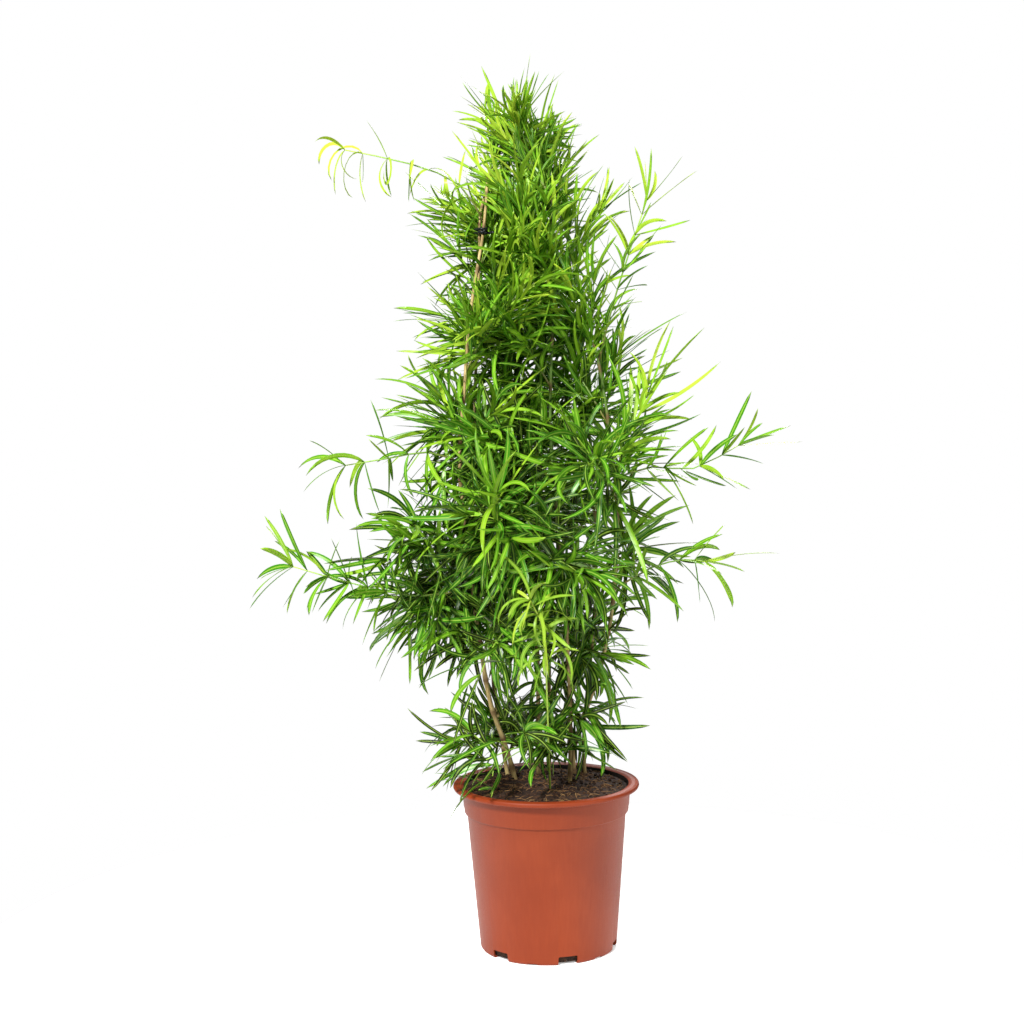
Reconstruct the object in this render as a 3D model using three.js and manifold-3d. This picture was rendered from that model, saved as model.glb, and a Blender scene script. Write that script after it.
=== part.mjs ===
// Potted sicklethorn asparagus (Asparagus falcatus): a moulded nursery pot filled with peat, seven
// woody climbing canes, a young green shoot, and the leafy side sprays that the canes carry.
// Millimetres, Z up. The origin is the middle of the pot's underside, and the front faces -Y.
import * as THREE from "three";
import { mergeVertices } from "three/addons/utils/BufferGeometryUtils.js";
import Module from "manifold-3d";

const wasm = await Module();
wasm.setup();

// Pot: a 19 cm nursery pot with a rolled lip, a collar, a step, and drainage notches at the foot.
const POT_HEIGHT = 170;
const RIM_RADIUS = 95;
const LIP_HEIGHT = 5;
const COLLAR_RADIUS_TOP = 85.8;
const COLLAR_RADIUS_LOW = 84;
const STEP_BELOW_RIM = 30;
const BODY_RADIUS_TOP = 81.2;
const BODY_RADIUS_LOW = 70;
const FOOT_ROUND = 3;
const WALL = 2;
const POT_SIDES = 32;
const SOIL_SIDES = 20;
const NOTCHES = 6;
const NOTCH_TURN = -15;
const NOTCH_WIDTH = 20;
const NOTCH_HEIGHT = 9;
const NOTCH_DEPTH = 16;
const SLIT_WIDTH = 10;
const SLIT_HEIGHT = 2;
const SLIT_DEPTH = 4;
const LIP_ROUND = 1.5;
const STEP_FALL = 1;

// Soil: peat filled to just under the rim, mounded a little towards the stems.
const SOIL_EDGE = 160;
const SOIL_MOUND = 7;
const SOIL_LUMP = 1.6;
const SOIL_CROWN = [[1, 0.1], [0.7, 0.65], [0.35, 0.95]];
const GAP = 0.3;

// Canes: name, root and tip radius, first leafy height, number of sprays, the way they face and
// how far they fan round it (degrees, 0 is +X), and the route that the cane takes.
const CANE_SIDES = 6;
const CANE_FOOT = 0.004;
const CANE_RING = 60;
const CANES = [
  { name: "left", root: 2.6, tip: 1.3, leafy: 205, sprays: 7, facing: 195, fan: 75, route: [
    [-26, 22, 140], [-39, 16, 198], [-56, 6, 254], [-66, -8, 328], [-73, -20, 396],
    [-81, -30, 488], [-76, -34, 562], [-68, -32, 640], [-54, -26, 725], [-48, -18, 780]] },
  { name: "right", root: 2.6, tip: 1.3, leafy: 230, sprays: 6, facing: -15, fan: 70, route: [
    [30, 44, 140], [31, 40, 195], [46, 30, 246], [62, 18, 299], [72, 4, 360],
    [76, -10, 440], [68, -20, 530], [56, -24, 610]] },
  { name: "twin", root: 2, tip: 1.1, leafy: 320, sprays: 5, facing: 45, fan: 60, route: [
    [42, 52, 140], [42, 48, 220], [50, 44, 300], [56, 42, 380], [54, 44, 480],
    [46, 44, 580], [38, 38, 690]] },
  { name: "centre", root: 2.4, tip: 1, leafy: 400, sprays: 6, facing: 250, fan: 180, route: [
    [-8, 40, 140], [-6, 36, 300], [-14, 30, 430], [-20, 22, 560], [-18, 12, 700], [-16, 4, 800]] },
  { name: "back", root: 2.2, tip: 1, leafy: 200, sprays: 6, facing: 90, fan: 80, route: [
    [4, 62, 140], [6, 70, 300], [2, 74, 430], [0, 66, 560], [6, 50, 680], [8, 34, 770]] },
  { name: "left_back", root: 2.2, tip: 1.1, leafy: 195, sprays: 5, facing: 150, fan: 60, route: [
    [-36, 48, 140], [-52, 56, 260], [-62, 58, 400], [-66, 44, 520], [-63, 14, 620],
    [-58, -14, 700], [-57, -18, 740], [-47, -6, 782]] },
  { name: "front", root: 2.2, tip: 1, leafy: 200, sprays: 7, facing: 275, fan: 80, route: [
    [24, 4, 140], [26, -8, 240], [22, -20, 340], [14, -26, 450], [10, -24, 560],
    [16, -18, 680], [14, -12, 760]] },
];

// Long shoots that stand out of the crown, each from a height on its cane, and the young shoot
// that rises from the soil. step is the space between their whorls, most the cladodes in one,
// bare the share of the route with none, and tilt, droop and blade the form of its cladodes.
const SHOOTS = [
  { name: "top_left_shoot", cane: "left", height: 735, step: 17, most: 4, bare: 0.1,
    tilt: 80, droop: 1.3, blade: 58, route: [[-76, -34, 772], [-123, -40, 792], [-186, -44, 806]] },
  { name: "left_shoot", cane: "left", height: 500, step: 18, most: 4, bare: 0.1,
    tilt: 75, droop: 0.8, blade: 66, route: [[-112, -44, 511], [-150, -50, 506], [-192, -54, 500]] },
  { name: "far_left_shoot", cane: "left", height: 372, step: 17, most: 7, bare: 0.1,
    tilt: 64, droop: 0.32, blade: 62, route: [[-125, -40, 368], [-185, -56, 383], [-245, -62, 402]] },
  { name: "right_shoot", cane: "right", height: 480, step: 18, most: 5, bare: 0.1,
    tilt: 48, droop: 0.02, blade: 56, route: [[110, -30, 492], [150, -36, 490], [194, -40, 512]] },
  { name: "upper_right_shoot", cane: "right", height: 510, step: 16, most: 6, bare: 0.1,
    tilt: 34, droop: 0.02, blade: 80, route: [[84, -28, 524], [96, -34, 540], [104, -36, 560]] },
  { name: "top_right_shoot", cane: "right", height: 596, step: 18, most: 5, bare: 0.2,
    tilt: 46, droop: 0.02, blade: 56, route: [[72, -32, 650], [88, -42, 700], [106, -48, 752]] },
  { name: "low_right_shoot", cane: "right", height: 366, step: 19, most: 5, bare: 0.1,
    tilt: 58, droop: 0.2, blade: 60, route: [[110, -14, 390], [142, -22, 398], [162, -26, 396]] },
  { name: "young_shoot", step: 18, most: 6, bare: 0.45, tilt: 70, droop: 0.8, blade: 50,
    route: [[4, -22, 140], [2, -50, 240], [0, -92, 310], [-2, -108, 344], [-14, -120, 372]] },
];

// The form of the crown by height: [height, value] pairs, with straight runs between them.
// The midline and the reach say how far out the tips of the side sprays come. A range is the
// least and the most share of a value that chance gives.
const MIDLINE_X = [[160, -28], [300, -24], [370, -28], [450, 0], [560, -14], [650, -40],
  [740, -12], [790, 0], [860, 18]];
const MIDLINE_Y = [[300, 10], [600, 4]];
const REACH = [[160, 66], [230, 64], [300, 66], [360, 108], [430, 130], [500, 120], [545, 56],
  [580, 38], [620, 38], [660, 52], [720, 44], [780, 44], [860, 26]];
const REACH_RANGE = [0.78, 1.18];
const DEPTH_SHARE = 0.85;
const RISE = [[160, 2], [300, 16], [420, 38], [540, 66], [680, 78], [740, 60], [800, 36]];
const RISE_RANGE = [0.6, 1.4];
const SPRAY_ARCH = 0.12;
const GOLDEN_TURN = 137.5;
const GOLDEN_SHARE = 0.618;
const FAN_START = 0.3;
const ALL_ROUND = 180;

// Whorls: the space between two, and the most and the fewest cladodes in one.
const STEP = [[160, 13], [850, 12]];
const MOST = [[500, 6], [650, 4]];
const FEWEST = 3;
const SHOOT_RANGE = [0.6, 1.2];

// Cladodes, the flat leaf-like stems: tilt from the twig, droop, length and width by height.
const TILT = [[160, 80], [300, 76], [430, 68], [540, 46], [640, 32], [800, 20]];
const TILT_RANGE = [0.6, 1.4];
const LAST_TILT = 0.6;
const DROOP = [[160, 0.34], [300, 0.3], [430, 0.2], [540, 0.1], [700, 0.02], [850, 0]];
const DROOP_RANGE = [0.3, 1.7];
const BLADE_LENGTH = [[160, 62], [400, 72], [560, 70], [700, 60], [850, 54]];
const SIZE_RANGE = [0.6, 1.1];
const LONGEST = 0.35;
const BLADE_WIDTH = [[160, 4.7], [400, 4.7], [560, 4], [700, 3.4], [850, 3]];
const WIDTH_RANGE = [0.8, 1.2];
const WIDTH_ALONG = [[0, 0.22], [0.14, 0.8], [0.42, 1], [0.76, 0.86], [0.95, 0.36], [1, 0]];
const ROLL_SPREAD = 0.35;
const FACE_UP = 0.6;
const FLIP = 55;
const SICKLE = 0.55;
const KEEL = 1.1;
const KEEL_ALONG = [[0, 0.35], [0.4, 1], [1, 0.9]];

// No cladode grows near the rim: POT_MARGIN is the clear space above and beside it. None hangs in
// front of the left cane's foot or of the tie: each stretch is two heights and a space to the sides.
const POT_MARGIN = [6, 9];
const BARE_STRETCHES = [[150, 300, 7], [712, 740, 12]];
const BARE_STOPS = [0.15, 0.3, 0.45, 0.6, 0.75, 0.9, 1];

// Twigs: radius of a spray's axis at its root and tip, and of its side twigs, and how the side
// twigs stand: their lean from the axis by height, and their reach.
const AXIS_SIDES = 4;
const AXIS_ROOT = 1.6;
const AXIS_TIP = 1.3;
const AXIS_RING = 35;
const TWIG_SIDES = 3;
const TWIG_RADIUS = 1;
const TWIG_END = 1.2;
const TWIG_REACH = 46;
const TWIG_SHARE = 0.45;
const TWIG_RANGE = [0.45, 1.25];
const TWIGS_ROUND = 2;
const TWIG_ARCH = 0.06;
const WHORL_TURN = 0.31;
const LEAN = [[500, 44], [620, 28], [720, 16], [850, 6]];
const LEAN_SPREAD = 28;

// A new spray turns round its cane, a step at a time, until its axis has this much clear space.
// The stops are the points along a cane, a shoot and a spray at which that is measured.
const AXIS_CLEAR = 6;
const TURN_STEP = 12;
const ATTEMPTS = 24;
const CANE_STOPS = 90;
const SHOOT_STOPS = 30;
const SPRAY_STOPS = 16;
const OWN_CANE_STOPS = 3;
const LENGTH_STOPS = 24;
const HALVINGS = 30;

// A spray's start is looked for in these steps along its route, from the middle of its cane.
const START_STEP = 0.002;
const START_LIMIT = 0.5;

// Tie: height, radius of its turns and of the cord itself, its knot and its ends.
const TIE_HEIGHT = 727;
const TIE_TURN = 4.3;
const TIE_RADIUS = 1.3;
const TIE_KNOT = 3;
const TIE_END = 9;
const TIE_KEEP_OUT = 14;

// How many cladodes and side twigs this solid model keeps, of all that the rule grows, and the
// clear space between them.
const AXIS_PER_BLADE = 12;
const FEWEST_BLADES = 5;
const TWIGS_KEPT = 2;
const RANKS = 5;
const WHORL_SPREAD = [0.1, 0.9];
const BLADE_CLEAR = 0.8;
const SAMPLE = 3;
const ROOT_FREE = 7;
const BLADE_STATIONS = [0, 0.45, 1];
const SHOOT_STATIONS = [0, 0.4, 0.75, 1];

const TERRACOTTA = 0xad5b3e;
const PEAT = 0x3a2a1e;
const BARK = 0xb89a72;
const YOUNG_GREEN = 0x8dbf2a;
const LEAF_GREEN = 0x3f7d1f;
const TIE_BLACK = 0x16181a;

const radians = THREE.MathUtils.degToRad;
const vector = (x, y, z) => new THREE.Vector3(x, y, z);
const mix = (from, to, share) => from + (to - from) * share;

// A number from 0 to 1 that is always the same for the same place on the plant.
function draw(a, b = 0, c = 0, d = 0) {
  const x = Math.sin(a * 12.9898 + b * 78.233 + c * 37.719 + d * 4.581) * 43758.5453;
  return x - Math.floor(x);
}

// The value of a [height, value] profile at a height.
function level(profile, height) {
  if (height <= profile[0][0]) return profile[0][1];
  for (let i = 1; i < profile.length; i++) {
    const [low, from] = profile[i - 1];
    const [high, to] = profile[i];
    if (height <= high) return mix(from, to, (height - low) / (high - low));
  }
  return profile[profile.length - 1][1];
}

// The point at a share of the way along a smooth route through the given points.
function along(route, share) {
  const spans = route.length - 1;
  const i = Math.min(Math.max(Math.floor(share * spans), 0), spans - 1);
  const f = share * spans - i;
  const [a, b, c, d] = [Math.max(i - 1, 0), i, i + 1, Math.min(i + 2, spans)].map((k) => route[k]);
  const value = (k) =>
    b[k] + 0.5 * f * (c[k] - a[k] + f * (2 * a[k] - 5 * b[k] + 4 * c[k] - d[k]
      + f * (3 * (b[k] - c[k]) + d[k] - a[k])));
  return vector(value(0), value(1), value(2));
}

const NEARBY = 0.02;

function heading(route, share) {
  const ahead = along(route, Math.min(share + NEARBY, 1));
  return ahead.sub(along(route, Math.max(share - NEARBY, 0))).normalize();
}

function points(route, count, first = 0) {
  return Array.from({ length: count + 1 - first }, (_, i) => along(route, (i + first) / count));
}

function routeLength(route) {
  const stops = points(route, LENGTH_STOPS);
  return stops.slice(1).reduce((sum, p, i) => sum + p.distanceTo(stops[i]), 0);
}

// Two directions square to an axis.
function around(axis) {
  const other = Math.abs(axis.z) < 0.8 ? vector(0, 0, 1) : vector(0, 1, 0);
  const side = axis.clone().cross(other).normalize();
  return [side, side.clone().cross(axis)];
}

// Solids

function solid(geometry) {
  geometry.deleteAttribute("normal");
  geometry.deleteAttribute("uv");
  const merged = mergeVertices(geometry, 1e-3);
  return new wasm.Manifold(new wasm.Mesh({
    numProp: 3,
    vertProperties: merged.attributes.position.array,
    triVerts: new Uint32Array(merged.index.array),
  }));
}

// A mesh of a finished solid, standing at its own place.
function piece(name, made, color, roughness, place = vector(0, 0, 0)) {
  const { vertProperties, triVerts, numProp } = made.getMesh();
  const geometry = new THREE.BufferGeometry();
  geometry.setAttribute("position", new THREE.BufferAttribute(vertProperties, numProp));
  geometry.setIndex(new THREE.BufferAttribute(triVerts, 1));
  geometry.translate(-place.x, -place.y, -place.z);
  geometry.computeVertexNormals();
  const mesh = new THREE.Mesh(geometry, new THREE.MeshStandardMaterial({ color, roughness }));
  mesh.name = name;
  mesh.position.copy(place);
  return mesh;
}

// Carries each vertex of an upright unit cylinder to the place that a rule gives it.
function bend(cylinder, place) {
  const position = cylinder.attributes.position;
  for (let i = 0; i < position.count; i++) {
    const spot = place(position.getY(i) + 0.5, position.getX(i), position.getZ(i));
    position.setXYZ(i, spot.x, spot.y, spot.z);
  }
  return cylinder;
}

// The middles of a rod's rings: even steps along its route, from a share of it to another. Its
// foot may be moved on to what it grows from, and a whole route's rod ends a little past its tip.
function ringsOf(route, steps, from = 0, to = 1, foot = null) {
  const rings = [];
  for (let i = 0; i <= steps; i++) rings.push(along(route, mix(from, to, i / steps)));
  if (foot) rings[0].copy(foot);
  if (to === 1) rings[steps].addScaledVector(heading(route, 1), TWIG_END);
  return rings;
}

// The point on a rod's middle line at a share of its route.
function onRod(rings, share, from = 0) {
  const steps = rings.length - 1;
  const place = Math.min(Math.max((share - from) / (1 - from), 0), 1 - NEARBY) * steps;
  const i = Math.floor(place);
  return rings[i].clone().lerp(rings[i + 1], place - i);
}

// A round rod through its rings, with a radius at the first and the last.
function rod(rings, radii, sides) {
  const last = rings.length - 1;
  const [side] = around(rings[last].clone().sub(rings[0]).normalize());
  return solid(bend(new THREE.CylinderGeometry(1, 1, 1, sides, last), (share, x, z) => {
    const i = Math.round(share * last);
    const ahead = rings[Math.min(i + 1, last)].clone().sub(rings[Math.max(i - 1, 0)]).normalize();
    const across = side.clone().addScaledVector(ahead, -side.dot(ahead)).normalize();
    const up = across.clone().cross(ahead);
    const radius = mix(radii[0], radii[1], share);
    return rings[i].clone().addScaledVector(across, x * radius).addScaledVector(up, z * radius);
  }));
}

// Growth: where the sprays, twigs and cladodes are

// The share of a cane's route at which it reaches a height.
function shareAt(route, height) {
  let [low, high] = [0, 1];
  for (let i = 0; i < HALVINGS; i++) {
    const middle = (low + high) / 2;
    if (along(route, middle).z < height) low = middle;
    else high = middle;
  }
  return low;
}

// The axis of one side spray: out of its cane, up and over to the crown's edge.
function sprayRoute(cane, c, j, turn) {
  const height = mix(cane.leafy, cane.route[cane.route.length - 1][2], j / (cane.sprays - 1));
  const root = along(cane.route, shareAt(cane.route, height));
  const z = height + level(RISE, height) * mix(...RISE_RANGE, draw(c, j, 1));
  const reach = level(REACH, z) * mix(...REACH_RANGE, draw(c, j, 2));
  const way = radians(turn);
  const tip = vector(level(MIDLINE_X, z) + reach * Math.cos(way),
    level(MIDLINE_Y, z) + DEPTH_SHARE * reach * Math.sin(way), z);
  const middle = root.clone().add(tip).multiplyScalar(0.5);
  middle.z += SPRAY_ARCH * root.distanceTo(tip);
  return [root.toArray(), middle.toArray(), tip.toArray()];
}

function nearest(some, others) {
  let least = Infinity;
  for (const p of some) for (const q of others) least = Math.min(least, p.distanceToSquared(q));
  return Math.sqrt(least);
}

// The long shoots, each from its own height on its cane.
function growShoots() {
  return SHOOTS.map((shoot, s) => {
    const cane = CANES.find((one) => one.name === shoot.cane);
    const root = cane ? [along(cane.route, shareAt(cane.route, shoot.height)).toArray()] : [];
    return { ...shoot, cane, key: [20 + s, 0], route: [...root, ...shoot.route], single: true };
  });
}

// Each spray turns a little further round its cane until it is clear of what grew before it.
function growSprays() {
  const grown = CANES.map((cane) => ({ name: cane.name, stops: points(cane.route, CANE_STOPS) }));
  const shoots = growShoots();
  shoots.forEach((shoot) => grown.push({ stops: points(shoot.route, SHOOT_STOPS, 1) }));
  const sprays = [];
  CANES.forEach((cane, c) => {
    for (let j = 0; j < cane.sprays; j++) {
      const fan = cane.facing + cane.fan * (2 * ((j * GOLDEN_SHARE + FAN_START) % 1) - 1);
      const turn = cane.fan === ALL_ROUND ? cane.facing + j * GOLDEN_TURN : fan;
      let route;
      let stops;
      for (let attempt = 0; attempt < ATTEMPTS; attempt++) {
        const step = TURN_STEP * Math.floor((attempt + 1) / 2) * (attempt % 2 ? 1 : -1);
        route = sprayRoute(cane, c, j, turn + step);
        stops = points(route, SPRAY_STOPS);
        const free = stops.slice(OWN_CANE_STOPS);
        const isFree = (other) =>
          nearest(other.name === cane.name ? free : stops, other.stops) > AXIS_CLEAR;
        if (grown.every(isFree)) break;
      }
      grown.push({ stops });
      const [, , height] = route[0];
      sprays.push({ name: `spray_${cane.name}_${j + 1}`, key: [c, j], route, cane, bare: 0,
        most: Math.floor(level(MOST, height)), step: level(STEP, height) });
    }
  });
  return [...sprays, ...shoots];
}

// A direction that leans from the one ahead by an angle, to the side that a roll gives.
function leaning(ahead, u, v, roll, lean) {
  return ahead.clone().multiplyScalar(Math.cos(lean))
    .addScaledVector(u, Math.cos(roll) * Math.sin(lean))
    .addScaledVector(v, Math.sin(roll) * Math.sin(lean));
}

// A spray's own axis, and the short side twigs that leave it in pairs at each whorl.
function growTwigs(spray) {
  const length = routeLength(spray.route);
  const axis = { route: spray.route, length, radii: [AXIS_ROOT, AXIS_TIP] };
  if (spray.single) return [axis];
  const whorls = Math.max(Math.floor(length / spray.step), 2);
  const twigs = [axis];
  for (let n = 0; n < TWIGS_ROUND * (whorls - 1); n++) {
    const i = 1 + Math.floor(n / TWIGS_ROUND);
    const share = i / whorls;
    const foot = along(spray.route, share);
    const ahead = heading(spray.route, share);
    const [u, v] = around(ahead);
    const turn = i * WHORL_TURN + (n + draw(...spray.key, 5, n)) / TWIGS_ROUND;
    const lean = radians(level(LEAN, foot.z) + LEAN_SPREAD * draw(...spray.key, 7, n));
    const way = leaning(ahead, u, v, 2 * Math.PI * turn, lean);
    const reach = Math.min(TWIG_REACH, TWIG_SHARE * length) * mix(...TWIG_RANGE, draw(...spray.key, 6, n));
    const middle = foot.clone().addScaledVector(way, reach / 2);
    middle.z += TWIG_ARCH * reach;
    const route = [foot, middle, foot.clone().addScaledVector(way, reach)].map((p) => p.toArray());
    twigs.push({ route, length: routeLength(route), radii: [TWIG_RADIUS, TWIG_RADIUS], share });
  }
  return twigs;
}

// The cladodes of one twig, whorl by whorl, each with the whorl's number from the root.
function growBlades(spray, twig, t) {
  const whorls = Math.max(Math.floor(twig.length / spray.step), 2);
  const blades = [];
  for (let i = 1; i <= whorls; i++) {
    if (i / whorls < spray.bare) continue;
    const foot = along(twig.route, i / whorls);
    const ahead = heading(twig.route, i / whorls);
    const [u, v] = around(ahead);
    const chance = draw(...spray.key, 10 + t, i);
    const few = spray.single ? Math.max(2, Math.floor(spray.most * mix(...SHOOT_RANGE, chance)))
      : FEWEST + Math.floor((spray.most - FEWEST + 1) * chance);
    const count = i === whorls ? few + 1 : few;
    const spin = draw(...spray.key, 20 + t, i);
    for (let k = 0; k < count; k++) {
      const blade = growBlade(spray, [foot, ahead, u, v], [t, i, k], k / count + spin, count, i === whorls);
      blades.push({ ...blade, whorl: i, share: i / whorls, k });
    }
  }
  return blades;
}

// One cladode: it leaves the twig at a tilt, and curls down by its droop and sideways like a
// sickle. Its key is the number of its twig, of its whorl and of itself.
function growBlade(spray, [foot, ahead, u, v], [t, i, k], turn, count, isLast) {
  const q = 30 + t * 8 + k;
  const chance = (n) => draw(...spray.key, q + n, i);
  const roll = 2 * Math.PI * (turn + (ROLL_SPREAD * (chance(0) - 0.5)) / count);
  const tilt = (spray.tilt ?? level(TILT, foot.z)) * mix(...TILT_RANGE, chance(200));
  const way = leaning(ahead, u, v, roll, radians(tilt * (isLast ? LAST_TILT : 1))).normalize();
  const size = mix(...SIZE_RANGE, chance(400)) + LONGEST * chance(450) ** 5;
  const face = ahead.clone().add(vector(0, 0, FACE_UP));
  face.addScaledVector(way, -face.dot(way)).normalize();
  const flip = radians(FLIP * (2 * chance(1000) - 1));
  const flat = way.clone().cross(face).multiplyScalar(Math.cos(flip)).addScaledVector(face, Math.sin(flip));
  const droop = (spray.droop ?? level(DROOP, foot.z)) * mix(...DROOP_RANGE, chance(600));
  const bend = flat.clone().multiplyScalar(SICKLE * (2 * chance(700) - 1)).sub(vector(0, 0, droop));
  bend.addScaledVector(way, -bend.dot(way));
  return {
    foot, way, flat,
    side: bend.clone().normalize(),
    curl: 2 * bend.length(),
    length: (spray.blade ?? level(BLADE_LENGTH, foot.z)) * size,
    width: level(BLADE_WIDTH, foot.z) * mix(...WIDTH_RANGE, chance(500)),
    stations: spray.single ? SHOOT_STATIONS : BLADE_STATIONS,
  };
}

// A cladode's middle line is an arc: it starts along its way and curls to its side.
function bladePoint({ foot, way, side, curl, length }, s) {
  const [turn, bow] = [curl * s, length / curl];
  return foot.clone().addScaledVector(way, bow * Math.sin(turn))
    .addScaledVector(side, bow * (1 - Math.cos(turn)));
}

// Choice: which twigs and cladodes this solid model holds

// A chain of balls along a twig or a cladode, to keep one thing clear of another.
function balls(length, place, radius, owner) {
  const count = Math.max(Math.ceil(length / SAMPLE), 2);
  return Array.from({ length: count + 1 }, (_, i) => {
    const s = i / count;
    return { spot: place(s), radius: radius(s), from: s * length, owner };
  });
}

const twigBalls = (twig, owner) =>
  balls(twig.length, (s) => onTwig(twig, s), (s) => mix(twig.radii[0], twig.radii[1], s), owner);

const bladeBalls = (blade, owner) =>
  balls(blade.length, (s) => onSolid(blade, s), (s) => (blade.width / 2) * level(WIDTH_ALONG, s), owner);

// The point on the middle line of a twig's solid. A side twig's is straight.
function onTwig({ route, share }, s) {
  return share === undefined ? along(route, s) : along(route, 0).lerp(along(route, 1), s);
}

// The point on the middle line of a cladode's solid, which is straight between its stations.
function onSolid(blade, s) {
  const i = Math.max(blade.stations.findIndex((station) => station >= s), 1);
  const [from, to] = [blade.stations[i - 1], blade.stations[i]];
  return bladePoint(blade, from).lerp(bladePoint(blade, to), (s - from) / (to - from));
}

function isClear(chain, taken) {
  return chain.every((ball) => taken.every((other) => {
    if (ball.owner === other.owner && ball.from < ROOT_FREE) return true;
    return ball.spot.distanceTo(other.spot) > ball.radius + other.radius + BLADE_CLEAR;
  }));
}

// Cladodes stay out of the pot and the soil.
function meetsPot(blade) {
  const [above, beside] = POT_MARGIN;
  return [0.25, 0.5, 0.75, 1].map((s) => bladePoint(blade, s)).some((spot) =>
    spot.z < POT_HEIGHT + above && Math.hypot(spot.x, spot.y) < RIM_RADIUS + beside);
}

// Whether a cladode hangs in front of a stretch of the left cane that shows.
function hidesCane(blade) {
  const { route } = CANES[0];
  return BARE_STOPS.map((s) => bladePoint(blade, s)).some((spot) =>
    BARE_STRETCHES.some(([low, high, beside]) => {
      if (spot.z <= low || spot.z >= high) return false;
      const cane = along(route, shareAt(route, spot.z));
      return spot.y < cane.y && Math.abs(spot.x - cane.x) < beside;
    }));
}

// The one cladode of the whole plant that reaches furthest each way.
function furthest(sprays) {
  const ways = [[1, 0, 0], [-1, 0, 0], [0, 1, 0], [0, -1, 0], [0, 0, 1]].map((w) => vector(...w));
  const reach = (blade, way) => Math.max(...[0.5, 0.75, 1].map((s) => bladePoint(blade, s).dot(way)));
  const all = sprays.flatMap((spray) => spray.twigs.flatMap((twig) => twig.blades));
  return ways.map((way) => {
    const further = (best, blade) => (reach(blade, way) > reach(best, way) ? blade : best);
    return all.reduce(further);
  });
}

function chooseBlades(sprays, taken) {
  const must = new Set(furthest(sprays));
  sprays.forEach((spray, n) => {
    const axis = spray.twigs[0];
    axis.kept = true;
    taken.push(...twigBalls(axis, n));
  });
  sprays.forEach((spray, n) => {
    const side = spray.twigs.slice(1);
    const wanted = side.filter((twig) => twig.blades.some((blade) => must.has(blade)));
    const stride = Math.max(Math.floor(side.length / TWIGS_KEPT), 1);
    const spread = side.filter((twig, i) => (side.length - i) % stride === 0);
    for (const twig of new Set([...wanted, ...spread, ...side])) {
      if (spray.twigs.filter((one) => one.kept).length > TWIGS_KEPT) break;
      const chain = twigBalls(twig, n);
      if (!wanted.includes(twig) && !isClear(chain, taken)) continue;
      twig.kept = true;
      taken.push(...chain);
    }
  });
  sprays.forEach((spray, n) => spray.twigs.forEach((twig) => twig.blades.forEach((blade) => {
    if (!must.has(blade)) return;
    blade.kept = true;
    taken.push(...bladeBalls(blade, n));
  })));
  sprays.forEach((spray, n) => {
    const wanted = Math.max(FEWEST_BLADES, Math.round(spray.twigs[0].length / AXIS_PER_BLADE));
    const queues = spray.twigs.filter((twig) => twig.kept).map((twig) => rankBlades(twig));
    const order = queues.length > 1 ? queues.slice(1).flatMap((queue) => [queues[0], queue]) : queues;
    let count = 0;
    for (let turn = 0; count < wanted && queues.some((queue) => queue.length); turn++) {
      const queue = order[turn % order.length];
      while (queue.length) {
        const blade = queue.shift();
        const chain = bladeBalls(blade, n);
        if (blade.kept || !isClear(chain, taken)) continue;
        blade.kept = true;
        taken.push(...chain);
        count++;
        break;
      }
    }
  });
}

// One cladode of each whorl first, from the tip's whorl, then the next of each.
function rankBlades(twig) {
  const last = Math.max(...twig.blades.map((blade) => blade.whorl), 0);
  const shuffled = (whorl) => (whorl === last ? 0 : mix(...WHORL_SPREAD, (whorl * GOLDEN_SHARE) % 1));
  const rank = ({ k, whorl }) => ((k + whorl) % RANKS) + shuffled(whorl);
  return [...twig.blades].sort((a, b) => rank(a) - rank(b));
}

// Leaves

// One cladode as a solid from its foot: a flat upper face, and a keel below along the middle.
function bladeSolid(blade, foot) {
  const last = blade.stations.length - 1;
  return solid(bend(new THREE.ConeGeometry(1, 1, 3, last), (share, x, z) => {
    const s = blade.stations[Math.round(share * last)];
    const centre = s === 0 ? foot.clone() : bladePoint(blade, s);
    if (s === 1) return centre;
    const axis = blade.way.clone().cross(blade.side);
    const flat = blade.flat.clone().applyAxisAngle(axis, blade.curl * s);
    const face = flat.clone().cross(blade.way.clone().applyAxisAngle(axis, blade.curl * s));
    const across = (-x / (1 - share)) * (2 / Math.sqrt(3));
    const keel = (KEEL * level(KEEL_ALONG, s) * (z / (1 - share) + 0.5)) / 1.5;
    const width = blade.width * level(WIDTH_ALONG, s);
    return centre.addScaledVector(flat, (across * width) / 2).addScaledVector(face, -keel);
  }));
}

const caneRings = ({ route }) => ringsOf(route, Math.round(routeLength(route) / CANE_RING), CANE_FOOT);

const axisRings = ({ route }, start) =>
  ringsOf(route, Math.max(3, Math.round(routeLength(route) / AXIS_RING)), start);

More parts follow.
